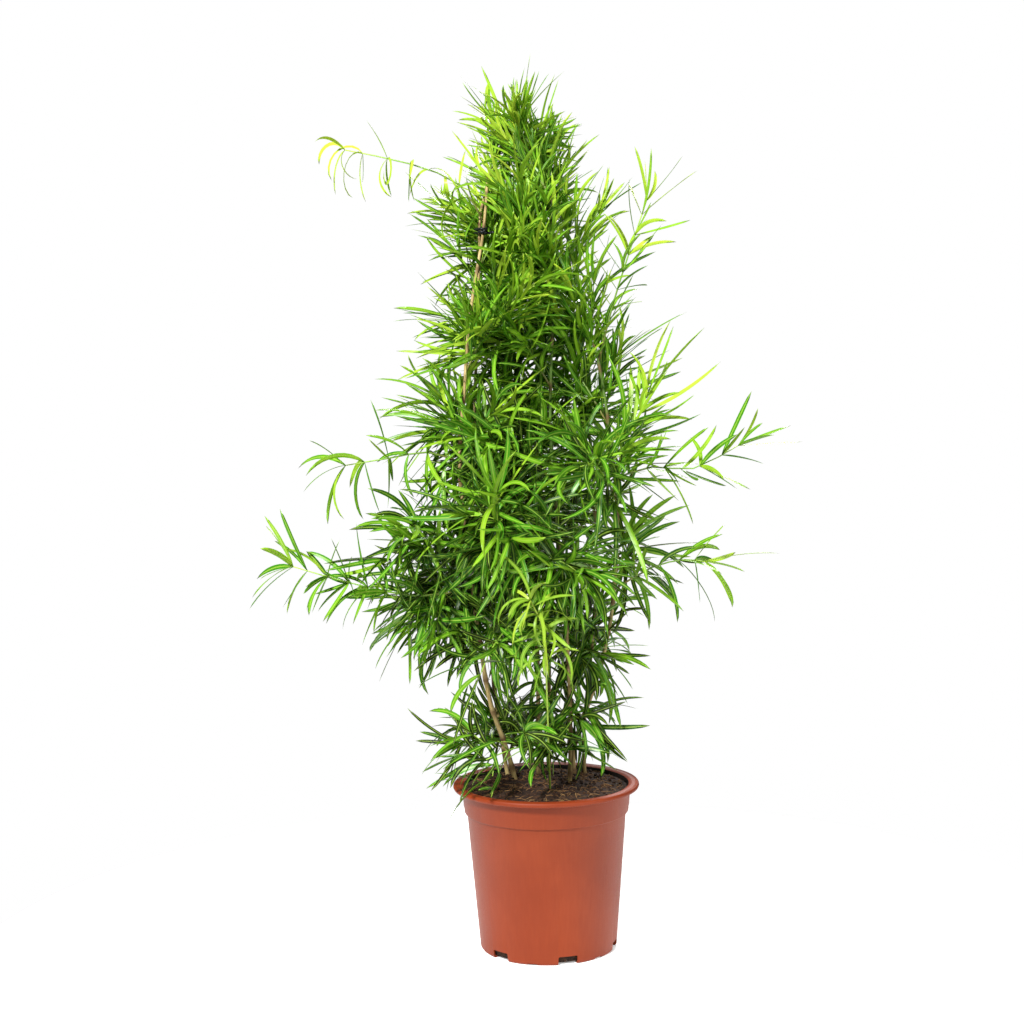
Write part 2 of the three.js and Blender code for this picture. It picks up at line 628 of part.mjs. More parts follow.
// The share of its route at which a spray starts, just clear of its cane's bark or tip.
function sprayStart(spray) {
  if (!spray.cane) return 0;
  const { route, root, tip } = spray.cane;
  const bark = mix(root, tip, shareAt(route, spray.route[0][2]));
  const rings = caneRings(spray.cane);
  const last = rings.length - 1;
  const stretches = rings.slice(1).map((ring, i) => new THREE.Line3(rings[i], ring));
  const end = stretches[last - 1].delta(vector(0, 0, 0)).normalize();
  for (let s = 0; s < START_LIMIT; s += START_STEP) {
    const foot = along(spray.route, s);
    const touches = stretches.map((line) => line.closestPointToPoint(foot, true, vector(0, 0, 0)));
    const gaps = touches.map((touch) => touch.distanceTo(foot));
    const touch = touches[gaps.indexOf(Math.min(...gaps))];
    const out = foot.clone().sub(touch);
    const rise = foot.clone().sub(rings[last]).dot(end);
    if (out.length() < bark && rise < 0) continue;
    if (rise > 0) out.addScaledVector(end, -rise);
    const away = foot.clone().sub(touch.add(out.clampLength(0, bark)));
    const square = heading(spray.route, s).dot(away.clone().normalize());
    if (away.length() > GAP + AXIS_ROOT * Math.sqrt(1 - square * square)) return s;
  }
  throw new Error(spray.name + " doesn't leave its cane");
}

function spraySolid(spray) {
  const start = sprayStart(spray);
  const [axis] = spray.twigs;
  const main = axisRings(spray, start);
  let made = rod(main, axis.radii, AXIS_SIDES);
  for (const twig of spray.twigs.filter((one) => one.kept)) {
    const whole = twig === axis;
    const rings = whole ? main : ringsOf(twig.route, 1, 0, 1, onRod(main, twig.share, start));
    if (!whole) made = made.add(rod(rings, twig.radii, TWIG_SIDES));
    for (const blade of twig.blades.filter((one) => one.kept)) {
      made = made.add(bladeSolid(blade, onRod(rings, blade.share, whole ? start : 0)));
    }
  }
  return made;
}

// Pot, soil and tie

function turned(profile, sides) {
  const geometry = new THREE.LatheGeometry(profile.map(([r, z]) => new THREE.Vector2(r, z)), sides);
  return geometry.rotateX(Math.PI / 2);
}

// A block that cuts a notch into the foot. It stands out past the wall and below the floor.
function notchTool(turn, width, height, depth) {
  const [past, below] = [4, 2];
  const box = new THREE.BoxGeometry(depth + past, width, height + below);
  box.translate(BODY_RADIUS_LOW + (past - depth) / 2, 0, (height - below) / 2);
  return solid(box.rotateZ(radians(turn)));
}

function potSolid() {
  const stepZ = POT_HEIGHT - STEP_BELOW_RIM;
  const lipZ = POT_HEIGHT - LIP_HEIGHT;
  const roundZ = FOOT_ROUND * (1 - Math.SQRT1_2);
  const outside = [
    [0, 0], [BODY_RADIUS_LOW - FOOT_ROUND, 0], [BODY_RADIUS_LOW - roundZ, roundZ],
    [BODY_RADIUS_LOW, FOOT_ROUND], [BODY_RADIUS_TOP, stepZ], [COLLAR_RADIUS_LOW, stepZ + STEP_FALL],
    [COLLAR_RADIUS_TOP, lipZ - WALL], [RIM_RADIUS - LIP_ROUND, lipZ], [RIM_RADIUS, lipZ + LIP_ROUND],
    [RIM_RADIUS, POT_HEIGHT - LIP_ROUND], [RIM_RADIUS - LIP_ROUND, POT_HEIGHT]];
  const inside = [
    [COLLAR_RADIUS_TOP + STEP_FALL, POT_HEIGHT], [COLLAR_RADIUS_TOP - WALL, POT_HEIGHT - 2 * LIP_ROUND],
    [COLLAR_RADIUS_LOW - WALL, stepZ + WALL], [BODY_RADIUS_TOP - WALL, stepZ],
    [BODY_RADIUS_LOW - WALL, FOOT_ROUND], [BODY_RADIUS_LOW - WALL - STEP_FALL, WALL], [0, WALL]];
  let pot = solid(turned([...outside, ...inside], POT_SIDES));
  for (let i = 0; i < NOTCHES; i++) {
    const turn = NOTCH_TURN + (360 / NOTCHES) * i;
    pot = pot.subtract(notchTool(turn, NOTCH_WIDTH, NOTCH_HEIGHT, NOTCH_DEPTH));
    pot = pot.subtract(notchTool(turn + 180 / NOTCHES, SLIT_WIDTH, SLIT_HEIGHT, SLIT_DEPTH));
  }
  return pot;
}

// Peat fills the pot. Its top is lumpy, and each stem stands in a plain hole.
function soilSolid(stems) {
  const stepZ = POT_HEIGHT - STEP_BELOW_RIM;
  const slack = WALL + 2 * GAP;
  const edge = mix(COLLAR_RADIUS_LOW, COLLAR_RADIUS_TOP, (SOIL_EDGE - stepZ) / STEP_BELOW_RIM) - slack;
  const profile = [
    [0, WALL + GAP], [BODY_RADIUS_LOW - WALL - 2, WALL + GAP], [BODY_RADIUS_LOW - slack, FOOT_ROUND + 1],
    [BODY_RADIUS_TOP - slack, stepZ + 1], [COLLAR_RADIUS_LOW - slack, stepZ + 4], [edge, SOIL_EDGE - 2],
    ...SOIL_CROWN.map(([share, lift]) => [(edge - 1) * share, SOIL_EDGE + SOIL_MOUND * lift]),
    [0, SOIL_EDGE + SOIL_MOUND]];
  const geometry = turned(profile, SOIL_SIDES);
  const position = geometry.attributes.position;
  for (let i = 0; i < position.count; i++) {
    const [x, y, z] = [position.getX(i), position.getY(i), position.getZ(i)];
    const reach = Math.hypot(x, y);
    if (z < SOIL_EDGE || reach > edge - 2 || reach < 1) continue;
    position.setZ(i, z + SOIL_LUMP * (2 * draw(Math.round(x), Math.round(y), 9) - 1));
  }
  let soil = solid(geometry);
  for (const { rings, radius } of stems) {
    const [foot, next] = rings;
    const floor = foot.clone().addScaledVector(next.clone().sub(foot).normalize(), -1);
    const grown = radius + 2 * GAP;
    soil = soil.subtract(rod([floor, next], [grown, grown], 6));
  }
  return soil;
}

// The black plant tie: two turns round the left cane and its neighbour, with a knot and two ends.
function tieSolid() {
  const [left, back] = ["left", "left_back"].map((name) => {
    const rings = caneRings(CANES.find((cane) => cane.name === name));
    const above = rings.findIndex((ring) => ring.z > TIE_HEIGHT);
    const [low, high] = [rings[above - 1], rings[above]];
    return low.clone().lerp(high, (TIE_HEIGHT - low.z) / (high.z - low.z));
  });
  const half = left.distanceTo(back) / 2;
  const turn = new THREE.TorusGeometry(TIE_TURN, TIE_RADIUS, 4, 12);
  const position = turn.attributes.position;
  for (let i = 0; i < position.count; i++) {
    const x = position.getX(i);
    position.setX(i, x + (x > -1e-6 ? half : -half));
  }
  const knotX = -(half + TIE_TURN);
  const knot = new THREE.SphereGeometry(TIE_KNOT, 6, 4);
  let tie = solid(knot.translate(knotX, 0, 0));
  for (const side of [-1, 1]) {
    tie = tie.add(solid(turn.clone().translate(0, 0, side * (TIE_RADIUS + GAP))));
    const end = [knotX - TIE_END, side * TIE_END * 0.55, side * 2];
    const rings = ringsOf([[knotX, 0, 0], [knotX - TIE_END * 0.6, side * 2, side * 2], end], 2);
    tie = tie.add(rod(rings, [TIE_RADIUS, TIE_RADIUS * 0.8], 4));
  }
  const middle = left.clone().add(back).multiplyScalar(0.5);
  const lie = Math.atan2(back.y - left.y, back.x - left.x);
  const frame = new THREE.Matrix4().makeRotationZ(lie).setPosition(middle);
  return tie.transform(frame.elements);
}

// Assembly

const sprays = growSprays();
for (const spray of sprays) {
  spray.twigs = growTwigs(spray);
  spray.twigs.forEach((twig, t) => {
    twig.blades = growBlades(spray, twig, t).filter((blade) => !meetsPot(blade) && !hidesCane(blade));
  });
}
const taken = CANES.flatMap((cane) => balls(routeLength(cane.route),
  (s) => along(cane.route, s), (s) => mix(cane.root, cane.tip, s), cane.name));
const tiePlace = along(CANES[0].route, shareAt(CANES[0].route, TIE_HEIGHT));
taken.push({ spot: tiePlace, radius: TIE_KEEP_OUT, from: 0, owner: "tie" });
chooseBlades(sprays, taken);

const stems = [
  ...CANES.map((cane) => ({ rings: caneRings(cane), radius: cane.root })),
  ...sprays.filter((one) => !one.cane).map((one) => ({ rings: axisRings(one, 0), radius: AXIS_ROOT })),
];

const plant = new THREE.Group();
plant.add(piece("pot", potSolid(), TERRACOTTA, 0.55));
plant.add(piece("soil", soilSolid(stems), PEAT, 1));
plant.add(piece("plant_tie", tieSolid(), TIE_BLACK, 0.5));
for (const cane of CANES) {
  const bark = rod(caneRings(cane), [cane.root, cane.tip], CANE_SIDES);
  plant.add(piece("cane_" + cane.name, bark, BARK, 0.8, vector(...cane.route[0])));
}
for (const spray of sprays) {
  const color = spray.cane ? LEAF_GREEN : YOUNG_GREEN;
  plant.add(piece(spray.name, spraySolid(spray), color, 0.5, vector(...spray.route[0])));
}

export default plant;
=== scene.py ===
# The finished look of a potted sicklethorn asparagus: a moulded nursery pot of peat, seven woody
# canes, a plant tie, and the leafy sprays and shoots. It follows the plant from the pot upwards.
import math
import random

import bmesh
import bpy
from mathutils import Matrix, Vector, noise
from mathutils.kdtree import KDTree


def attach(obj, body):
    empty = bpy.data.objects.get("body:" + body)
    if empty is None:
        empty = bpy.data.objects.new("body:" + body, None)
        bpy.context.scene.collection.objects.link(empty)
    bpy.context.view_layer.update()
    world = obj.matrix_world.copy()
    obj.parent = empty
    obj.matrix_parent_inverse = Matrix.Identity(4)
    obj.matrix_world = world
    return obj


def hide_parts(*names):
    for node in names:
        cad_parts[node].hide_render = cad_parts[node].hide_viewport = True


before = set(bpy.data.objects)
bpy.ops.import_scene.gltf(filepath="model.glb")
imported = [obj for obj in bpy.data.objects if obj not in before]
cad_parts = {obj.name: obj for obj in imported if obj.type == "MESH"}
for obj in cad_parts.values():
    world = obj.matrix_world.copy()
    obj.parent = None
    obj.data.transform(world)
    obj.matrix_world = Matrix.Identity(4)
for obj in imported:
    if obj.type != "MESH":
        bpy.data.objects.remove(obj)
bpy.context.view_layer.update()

# Camera: a long lens 1.8 m in front of the plant, a little above its middle, looking slightly
# down and held one degree off level, as the photograph was taken.
CAMERA_PLACE = (-0.030, -1.815, 0.590)
CAMERA_LENS = 63.3
LOOKING_DOWN = 4.5
OFF_LEVEL = 1.0

eye = bpy.data.objects.new("camera", bpy.data.cameras.new("camera"))
eye.data.lens = CAMERA_LENS
tilt = Matrix.Rotation(math.radians(90 - LOOKING_DOWN), 4, "X")
roll = Matrix.Rotation(math.radians(-OFF_LEVEL), 4, "Z")
eye.matrix_world = Matrix.Translation(CAMERA_PLACE) @ tilt @ roll
bpy.context.scene.collection.objects.link(eye)
bpy.context.scene.camera = eye
bpy.context.scene.view_settings.view_transform = "Standard"

# Studio: a white floor under an even white surround, one large soft light high on the left, and
# a weaker one on the right that keeps the far side open.
WHITE = "FBFBFA"
FLOOR_RADIUS = 0.6
FLOOR_SIDES = 96
FLOOR_GLOW = 0.35
SURROUND = 0.22
LIGHTS = [("key_light", (-1.1, -2.0, 2.1), 0.45, 190), ("fill_light", (1.9, -1.5, 1.0), 0.8, 30),
          ("back_light", (0.6, 1.9, 1.9), 0.8, 60)]
PLANT_MIDDLE = Vector((0, 0, 0.45))


def linear(shade):
    """A colour for a shader from its sRGB hex value."""
    parts = [int(shade[i : i + 2], 16) / 255 for i in (0, 2, 4)]
    return (*[c / 12.92 if c <= 0.04045 else ((c + 0.055) / 1.055) ** 2.4 for c in parts], 1)


def material(name):
    made = bpy.data.materials.new(name)
    made.use_nodes = True
    made.node_tree.nodes.clear()
    return made


def add(owner, kind, sockets=None, stops=None, **settings):
    """Adds a node with its settings, its ramp's stops, and values or links for its sockets."""
    made = owner.node_tree.nodes.new("ShaderNode" + kind)
    for name, value in settings.items():
        setattr(made, name, value)
    for socket, value in (sockets or {}).items():
        if isinstance(value, bpy.types.NodeSocket):
            owner.node_tree.links.new(value, made.inputs[socket])
        else:
            made.inputs[socket].default_value = value
    for i, (place, shade) in enumerate(stops or []):
        ends = {0: 0, len(stops) - 1: 1}
        elements = made.color_ramp.elements
        stop = elements[-ends[i]] if i in ends else elements.new(place)
        stop.position = place
        stop.color = linear(shade)
    return made


def shown(bm, name, *finishes):
    """Turns a bmesh into a smooth-shaded object with its materials."""
    mesh = bpy.data.meshes.new(name)
    for face in bm.faces:
        face.smooth = True
    bm.to_mesh(mesh)
    bm.free()
    for finish in finishes:
        mesh.materials.append(finish)
    made = bpy.data.objects.new(name, mesh)
    bpy.context.scene.collection.objects.link(made)
    return made


paper = material("white_studio_paper")
paper_noise = add(paper, "TexNoise", {"Vector": add(paper, "TexCoord").outputs["Object"], "Scale": 3.0})
paper_shade = add(paper, "ValToRGB", {"Fac": paper_noise.outputs["Fac"]}, [(0.3, "F7F7F6"), (0.7, WHITE)])
paper_skin = add(paper, "BsdfPrincipled", {"Base Color": paper_shade.outputs[0], "Roughness": 0.9,
                                          "Emission Color": linear(WHITE), "Emission Strength": FLOOR_GLOW})
add(paper, "OutputMaterial", {"Surface": paper_skin.outputs[0]})
floor_mesh = bmesh.new()
bmesh.ops.create_circle(floor_mesh, cap_ends=True, segments=FLOOR_SIDES, radius=FLOOR_RADIUS)
shown(floor_mesh, "studio_floor", paper)

surround = bpy.data.worlds.new("studio_surround")
surround.use_nodes = True
seen = add(surround, "LightPath").outputs["Is Camera Ray"]
strength = add(surround, "MapRange", {"Value": seen, "To Min": SURROUND})
wall = surround.node_tree.nodes["Background"]
wall.inputs["Color"].default_value = (1, 1, 1, 1)
surround.node_tree.links.new(strength.outputs[0], wall.inputs["Strength"])
bpy.context.scene.world = surround
for name, place, size, power in LIGHTS:
    lamp = bpy.data.objects.new(name, bpy.data.lights.new(name, "AREA"))
    lamp.data.size = size
    lamp.data.energy = power
    lamp.location = place
    lamp.rotation_euler = (PLANT_MIDDLE - Vector(place)).to_track_quat("-Z", "Y").to_euler()
    bpy.context.scene.collection.objects.link(lamp)

# Pot: one shell of polypropylene, terracotta outside and black inside, drawn from a flat sheet
# over a mould. It has a flat rolled rim, a collar, a step where pots stack, and notches cut
# through its foot for drainage.
MM = 0.001
POT_HEIGHT = 170
RIM_RADIUS = 95
LIP_HEIGHT = 5
RIM_ROLL = (2, 2.5)
COLLAR_RADIUS_TOP = 85.8
COLLAR_RADIUS_LOW = 84
STEP_BELOW_RIM = 30
BODY_RADIUS_TOP = 81.2
BODY_RADIUS_LOW = 70
FOOT_ROUND = 3
FOOT_RING = 57
HOLLOW = 0.6
WALL = 2
POT_SIDES = 160
NOTCHES = 6
NOTCH_TURN = -15
NOTCH_SIZE = (16, 20, 9)
SLIT_SIZE = (4, 10, 2)
NOTCH_ROUND = 1.6
NOTCH_PAST = (4, 2)
LINING_DOWN = 1.1
SHARP_FROM = 38
SAME_POINT = 0.01


def soften_by_angle(bm):
    """Keeps the edges that meet at a clear angle crisp, and the rest smooth."""
    bm.normal_update()
    for edge in bm.edges:
        edge.smooth = len(edge.link_faces) == 2 and edge.calc_face_angle(0) < math.radians(SHARP_FROM)


def pot_shell():
    step_z = POT_HEIGHT - STEP_BELOW_RIM
    lip_z = POT_HEIGHT - LIP_HEIGHT
    arc = [math.radians(a) for a in (-90, -50, -10, 30, 60, 90)]
    out, up = RIM_ROLL
    roll = [(RIM_RADIUS - out * (1 - math.cos(a)), POT_HEIGHT - up * (1 - math.sin(a))) for a in arc]
    foot = [math.radians(a) for a in (-90, -60, -30, 0)]
    heel = [(BODY_RADIUS_LOW - FOOT_ROUND * (1 - math.cos(a)), FOOT_ROUND * (1 + math.sin(a)))
            for a in foot]
    outside = [(0, HOLLOW), (FOOT_RING - 3, HOLLOW), (FOOT_RING, 0), *heel]
    outside += [(BODY_RADIUS_TOP, step_z - 0.4), (BODY_RADIUS_TOP + 0.5, step_z + 0.2)]
    outside += [(COLLAR_RADIUS_LOW - 0.6, step_z + 0.9), (COLLAR_RADIUS_LOW, step_z + 1.8)]
    outside += [(COLLAR_RADIUS_TOP, lip_z - 2.5), (COLLAR_RADIUS_TOP + 1.2, lip_z - 0.6)]
    outside += [(COLLAR_RADIUS_TOP + 3, lip_z), *roll]
    inside = [(RIM_RADIUS - 3.4, POT_HEIGHT - 0.5), (RIM_RADIUS - 4.8, POT_HEIGHT - 0.5)]
    inside += [(RIM_RADIUS - 6, POT_HEIGHT), (COLLAR_RADIUS_TOP + 0.8, POT_HEIGHT - 0.1)]
    inside += [(COLLAR_RADIUS_TOP - WALL + 0.6, POT_HEIGHT - 1.2)]
    inside += [(COLLAR_RADIUS_TOP - WALL, POT_HEIGHT - 3)]
    inside += [(COLLAR_RADIUS_LOW - WALL, step_z + 2), (BODY_RADIUS_TOP - WALL, step_z)]
    inside += [(BODY_RADIUS_LOW - WALL, FOOT_ROUND), (BODY_RADIUS_LOW - WALL - 1, WALL), (0, WALL)]
    bm = bmesh.new()
    points = [bm.verts.new((r * MM, 0, z * MM)) for r, z in outside + inside]
    wires = [bm.edges.new(pair) for pair in zip(points, points[1:])]
    bmesh.ops.spin(bm, geom=points + wires, cent=(0, 0, 0), axis=(0, 0, 1), angle=math.tau,
                   steps=POT_SIDES, use_merge=True)
    bmesh.ops.remove_doubles(bm, verts=bm.verts, dist=SAME_POINT * MM)
    bmesh.ops.recalc_face_normals(bm, faces=bm.faces)
    dark_below = POT_HEIGHT - LINING_DOWN
    for face in bm.faces:
        middle = face.calc_center_median()
        outer = face.normal.dot(Vector((middle.x, middle.y, 0)).normalized())
        inner = middle.z < dark_below * MM and middle.z > WALL * 0.9 * MM and outer < 0
        floor = face.normal.z > 0.5 and middle.z < step_z * MM
        face.material_index = 1 if inner or floor else 0
    soften_by_angle(bm)
    return bm


def notch_cutters():
    """Blocks with rounded upper corners, one for each notch and each slit between two."""
    bm = bmesh.new()
    out, below = NOTCH_PAST
    for i in range(2 * NOTCHES):
        depth, width, height = SLIT_SIZE if i % 2 else NOTCH_SIZE
        made = bmesh.ops.create_cube(bm, size=MM)["verts"]
        bmesh.ops.scale(bm, vec=(depth + out, width, height + below), verts=made)
        place = Vector((BODY_RADIUS_LOW + (out - depth) / 2, 0, (height - below) / 2)) * MM
        bmesh.ops.translate(bm, vec=place, verts=made)
        ridge = set()
        for edge in {edge for vert in made for edge in vert.link_edges}:
            one, other = [end.co for end in edge.verts]
            if min(one.z, other.z) > place.z and abs(one.x - other.x) > MM:
                ridge.add(edge)
        rounding = min(NOTCH_ROUND, height / 3) * MM
        rounded = bmesh.ops.bevel(bm, geom=list(ridge), offset=rounding, segments=4, profile=0.5,
                                  affect="EDGES", material=-1)["verts"]
        corners = {vert for vert in made if vert.is_valid} | set(rounded)
        turn = Matrix.Rotation(math.radians(NOTCH_TURN + 180 / NOTCHES * i), 3, "Z")
        bmesh.ops.rotate(bm, verts=list(corners), cent=(0, 0, 0), matrix=turn)
    return bm


def moulded_plastic(name, deep, mid, pale, roughness):
    """Polypropylene: satin, a touch uneven in colour, with faint upright flow lines and scuffs."""
    made = material(name)
    place = add(made, "TexCoord").outputs["Object"]
    blotch = add(made, "TexNoise", {"Vector": place, "Scale": 16.0, "Detail": 3.0})
    upright = add(made, "Mapping", {"Vector": place, "Scale": (1.0, 1.0, 0.06)})
    flow = add(made, "TexNoise", {"Vector": upright.outputs[0], "Scale": 420.0, "Detail": 4.0})
    level_mix = add(made, "Mix", {0: 0.3, 2: blotch.outputs["Fac"], 3: flow.outputs["Fac"]})
    shade = add(made, "ValToRGB", {"Fac": level_mix.outputs[0]}, [(0.3, deep), (0.5, mid), (0.72, pale)])
    scuff = add(made, "TexNoise", {"Vector": place, "Scale": 900.0, "Detail": 6.0, "Roughness": 0.7})
    dull = add(made, "MapRange", {"Value": scuff.outputs["Fac"], "From Min": 0.3, "From Max": 0.75,
                                  "To Min": roughness - 0.05, "To Max": roughness + 0.14})
    grit = add(made, "Bump", {"Height": scuff.outputs["Fac"], "Strength": 0.12, "Distance": 0.0004})
    wave = add(made, "Bump", {"Height": flow.outputs["Fac"], "Strength": 0.1, "Distance": 0.0006,
                              "Normal": grit.outputs[0]})
    skin = add(made, "BsdfPrincipled", {"Base Color": shade.outputs[0], "Roughness": dull.outputs[0],
                                        "Specular IOR Level": 0.2, "Normal": wave.outputs[0]})
    add(made, "OutputMaterial", {"Surface": skin.outputs[0]})
    return made


terracotta = moulded_plastic("terracotta_polypropylene", "6E270A", "742B0D", "7C3112", 0.5)
black_lining = moulded_plastic("black_polypropylene_lining", "120F0D", "1A1613", "241F1B", 0.5)
nursery_pot = shown(pot_shell(), "nursery_pot", terracotta, black_lining)
cutters = shown(notch_cutters(), "notch_cutters")
cut = nursery_pot.modifiers.new("notches", "BOOLEAN")
cut.object = cutters
cut.operation = "DIFFERENCE"
cut.solver = "EXACT"
drained = nursery_pot.evaluated_get(bpy.context.evaluated_depsgraph_get())
whole = bpy.data.meshes.new_from_object(drained)
nursery_pot.modifiers.clear()
nursery_pot.data = whole
bpy.data.objects.remove(cutters)
notched = bmesh.new()
notched.from_mesh(whole)
soften_by_angle(notched)
notched.to_mesh(whole)
notched.free()
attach(nursery_pot, "root")
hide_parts("pot")

# Peat: moist brown moss peat filled to just under the rim and a little mounded, with crumbs and
# pale plant fibres lying loose on it.
SOIL_EDGE = 164.5
SOIL_MOUND = 5.5
MOUND_POWER = 1.7
SOIL_LUMPS = [(1.7, 17), (1.0, 6), (0.55, 2.6)]
CALM_EDGE = 0.4
CALM_RISE = 1.35
SOIL_SLACK = WALL + 0.6
SOIL_FLOOR = WALL + 0.3
SOIL_SIDES = 150
SOIL_RINGS = 40
SOIL_REACH = 80
CRUMBS = 520
COMMON_CRUMB = (0.5, 1.9)
COARSE_CRUMB = (1.9, 3.2)
COARSE_SHARE = 0.15
CRUMB_SHAPE = (0.6, 1.2)
CRUMB_ROUGH = 0.35
CRUMB_LIFT = 0.2
FIBRES = 340
FIBRE_SIDES = 4
FIBRE_CUTS = 4
FIBRE_LENGTH = (4, 15)
FIBRE_GIRTH = (0.16, 0.42)
FIBRE_LIFT = (0.3, 2.2)
PEAT_SEED = 7


def peat_height(x, y):
    """The lumpy top of the peat at a place, in millimetres."""
    share = min(math.hypot(x, y) / COLLAR_RADIUS_TOP, 1)
    mound = SOIL_MOUND * (1 - share ** MOUND_POWER)
    spot = Vector((x, y, 0))
    lumps = sum(height * noise.noise(spot / width) for height, width in SOIL_LUMPS)
    return SOIL_EDGE + mound + lumps * min(1, CALM_RISE * (1 - share) + CALM_EDGE)


def rod_template(bm, sides, cuts, end=1):
    """An upright unit rod of a few sides, cut into even lengths, as a pattern for bent copies.
    Its upper end may be thinner."""
    made = bmesh.ops.create_cone(bm, cap_ends=True, segments=sides, radius1=1, radius2=end,
                                 depth=1)["verts"]
    bmesh.ops.translate(bm, vec=(0, 0, 0.5), verts=made)
    upright = {edge for vert in made for edge in vert.link_edges
               if abs(edge.verts[0].co.z - edge.verts[1].co.z) > 0.5}
    bmesh.ops.subdivide_edges(bm, edges=list(upright), cuts=cuts, use_grid_fill=True)


def pattern(shape, *sizes):
    """A mesh with the shape a function makes, kept to be copied."""
    bm = bmesh.new()
    shape(bm, *sizes)
    made = bpy.data.meshes.new("pattern")
    bm.to_mesh(made)
    bm.free()
    return made


def added(bm, made, slot=0):
    """Adds a copy of a pattern and gives back its vertices."""
    first, first_face = len(bm.verts), len(bm.faces)
    bm.from_mesh(made)
    bm.verts.ensure_lookup_table()
    bm.faces.ensure_lookup_table()
    for face in bm.faces[first_face:]:
        face.material_index = slot
    return bm.verts[first:]


def peat_body(bm):
    step_z = POT_HEIGHT - STEP_BELOW_RIM
    flare = (COLLAR_RADIUS_TOP - COLLAR_RADIUS_LOW) / STEP_BELOW_RIM
    edge = COLLAR_RADIUS_LOW + flare * (SOIL_EDGE - step_z) - SOIL_SLACK
    sides = [(0, SOIL_FLOOR), (BODY_RADIUS_LOW - SOIL_SLACK - 1, SOIL_FLOOR)]
    sides += [(BODY_RADIUS_TOP - SOIL_SLACK, step_z + 1), (COLLAR_RADIUS_LOW - SOIL_SLACK, step_z + 4)]
    top = [(edge * (1 - i / SOIL_RINGS), SOIL_EDGE) for i in range(SOIL_RINGS + 1)]
    points = [bm.verts.new((r * MM, 0, z * MM)) for r, z in sides + top]
    wires = [bm.edges.new(pair) for pair in zip(points, points[1:])]
    bmesh.ops.spin(bm, geom=points + wires, cent=(0, 0, 0), axis=(0, 0, 1), angle=math.tau,
                   steps=SOIL_SIDES, use_merge=True)
    bmesh.ops.remove_doubles(bm, verts=bm.verts, dist=SAME_POINT * MM)
    for vert in bm.verts:
        if vert.co.z > (SOIL_EDGE - 1) * MM:
            vert.co.z = peat_height(vert.co.x / MM, vert.co.y / MM) * MM
    bmesh.ops.recalc_face_normals(bm, faces=bm.faces)


def grain(bm):
    bmesh.ops.create_icosphere(bm, subdivisions=1, radius=1)


def scatter_crumbs(bm, chance):
    """Irregular grains of peat, each half sunk in the top."""
    one_grain = pattern(grain)
    for _ in range(CRUMBS):
        verts = added(bm, one_grain)
        way = chance.uniform(0, math.tau)
        reach = SOIL_REACH * math.sqrt(chance.random())
        x, y = reach * math.cos(way), reach * math.sin(way)
        size = chance.uniform(*(COMMON_CRUMB if chance.random() < 1 - COARSE_SHARE else COARSE_CRUMB))
        shape = Vector([size * chance.uniform(*CRUMB_SHAPE) for _ in range(3)])
        turned = chance.uniform(0, math.tau)
        turn = Matrix.Rotation(turned, 3, Vector((chance.random(), 1, chance.random())))
        for vert in verts:
            rough = 1 + CRUMB_ROUGH * noise.noise(vert.co * 2 + Vector((x, y, 0)))
            spot = turn @ Vector([a * b for a, b in zip(vert.co * rough, shape)])
            vert.co = (spot + Vector((x, y, peat_height(x, y) + CRUMB_LIFT * size))) * MM


def scatter_fibres(bm, chance):
    """Thin bent fibres of moss and root that lie on the peat or stand a little out of it."""
    one_fibre = pattern(rod_template, FIBRE_SIDES, FIBRE_CUTS)
    for _ in range(FIBRES):
        verts = added(bm, one_fibre, 1)
        way = chance.uniform(0, math.tau)
        reach = (SOIL_REACH - 1) * math.sqrt(chance.random())
        foot = Vector((reach * math.cos(way), reach * math.sin(way), 0))
        lie = chance.uniform(0, math.tau)
        ahead = Vector((math.cos(lie), math.sin(lie), 0))
        aside = Vector((-ahead.y, ahead.x, 0))
        length = chance.uniform(*FIBRE_LENGTH)
        bend = chance.uniform(-0.5, 0.5) * length
        lift = chance.uniform(*FIBRE_LIFT)
        girth = chance.uniform(*FIBRE_GIRTH)
        for vert in verts:
            s = vert.co.z
            spot = foot + ahead * length * (s - 0.5) + aside * bend * (4 * s * (1 - s))
            if spot.length > SOIL_REACH + 1:
                spot *= (SOIL_REACH + 1) / spot.length
            height = peat_height(spot.x, spot.y) + lift * 4 * s * (1 - s)
            section = aside * vert.co.x + Vector((0, 0, vert.co.y))
            vert.co = (spot + Vector((0, 0, height)) + section * girth) * MM


def crumbly(name, stops, scale):
    """Peat or its fibres: matt and open, in many small patches of brown."""
    made = material(name)
    place = add(made, "TexCoord").outputs["Object"]
    patches = add(made, "TexNoise", {"Vector": place, "Scale": scale, "Detail": 8.0, "Roughness": 0.75})
    shade = add(made, "ValToRGB", {"Fac": patches.outputs["Fac"]}, stops)
    pores = add(made, "TexVoronoi", {"Vector": place, "Scale": scale * 2.2, "Randomness": 1.0})
    rough = add(made, "Bump", {"Height": pores.outputs["Distance"], "Strength": 0.8, "Distance": 0.001})
    skin = add(made, "BsdfPrincipled", {"Base Color": shade.outputs[0], "Roughness": 0.95,
                                        "Specular IOR Level": 0.25, "Normal": rough.outputs[0]})
    add(made, "OutputMaterial", {"Surface": skin.outputs[0]})
    return made


PEAT_BROWNS = [(0.34, "0D0704"), (0.48, "22140B"), (0.6, "3C2514"), (0.74, "664528")]
moss_peat = crumbly("moist_moss_peat", PEAT_BROWNS, 260.0)
moss_fibre = crumbly("dry_moss_fibre", [(0.3, "3C2817"), (0.5, "6C4E30"), (0.7, "98784E")], 120.0)
peat_draws = random.Random(PEAT_SEED)
peat_mesh = bmesh.new()
added(peat_mesh, pattern(peat_body))
scatter_crumbs(peat_mesh, peat_draws)
scatter_fibres(peat_mesh, peat_draws)
peat = shown(peat_mesh, "moss_peat", moss_peat, moss_fibre)
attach(peat, "root")
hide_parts("soil")

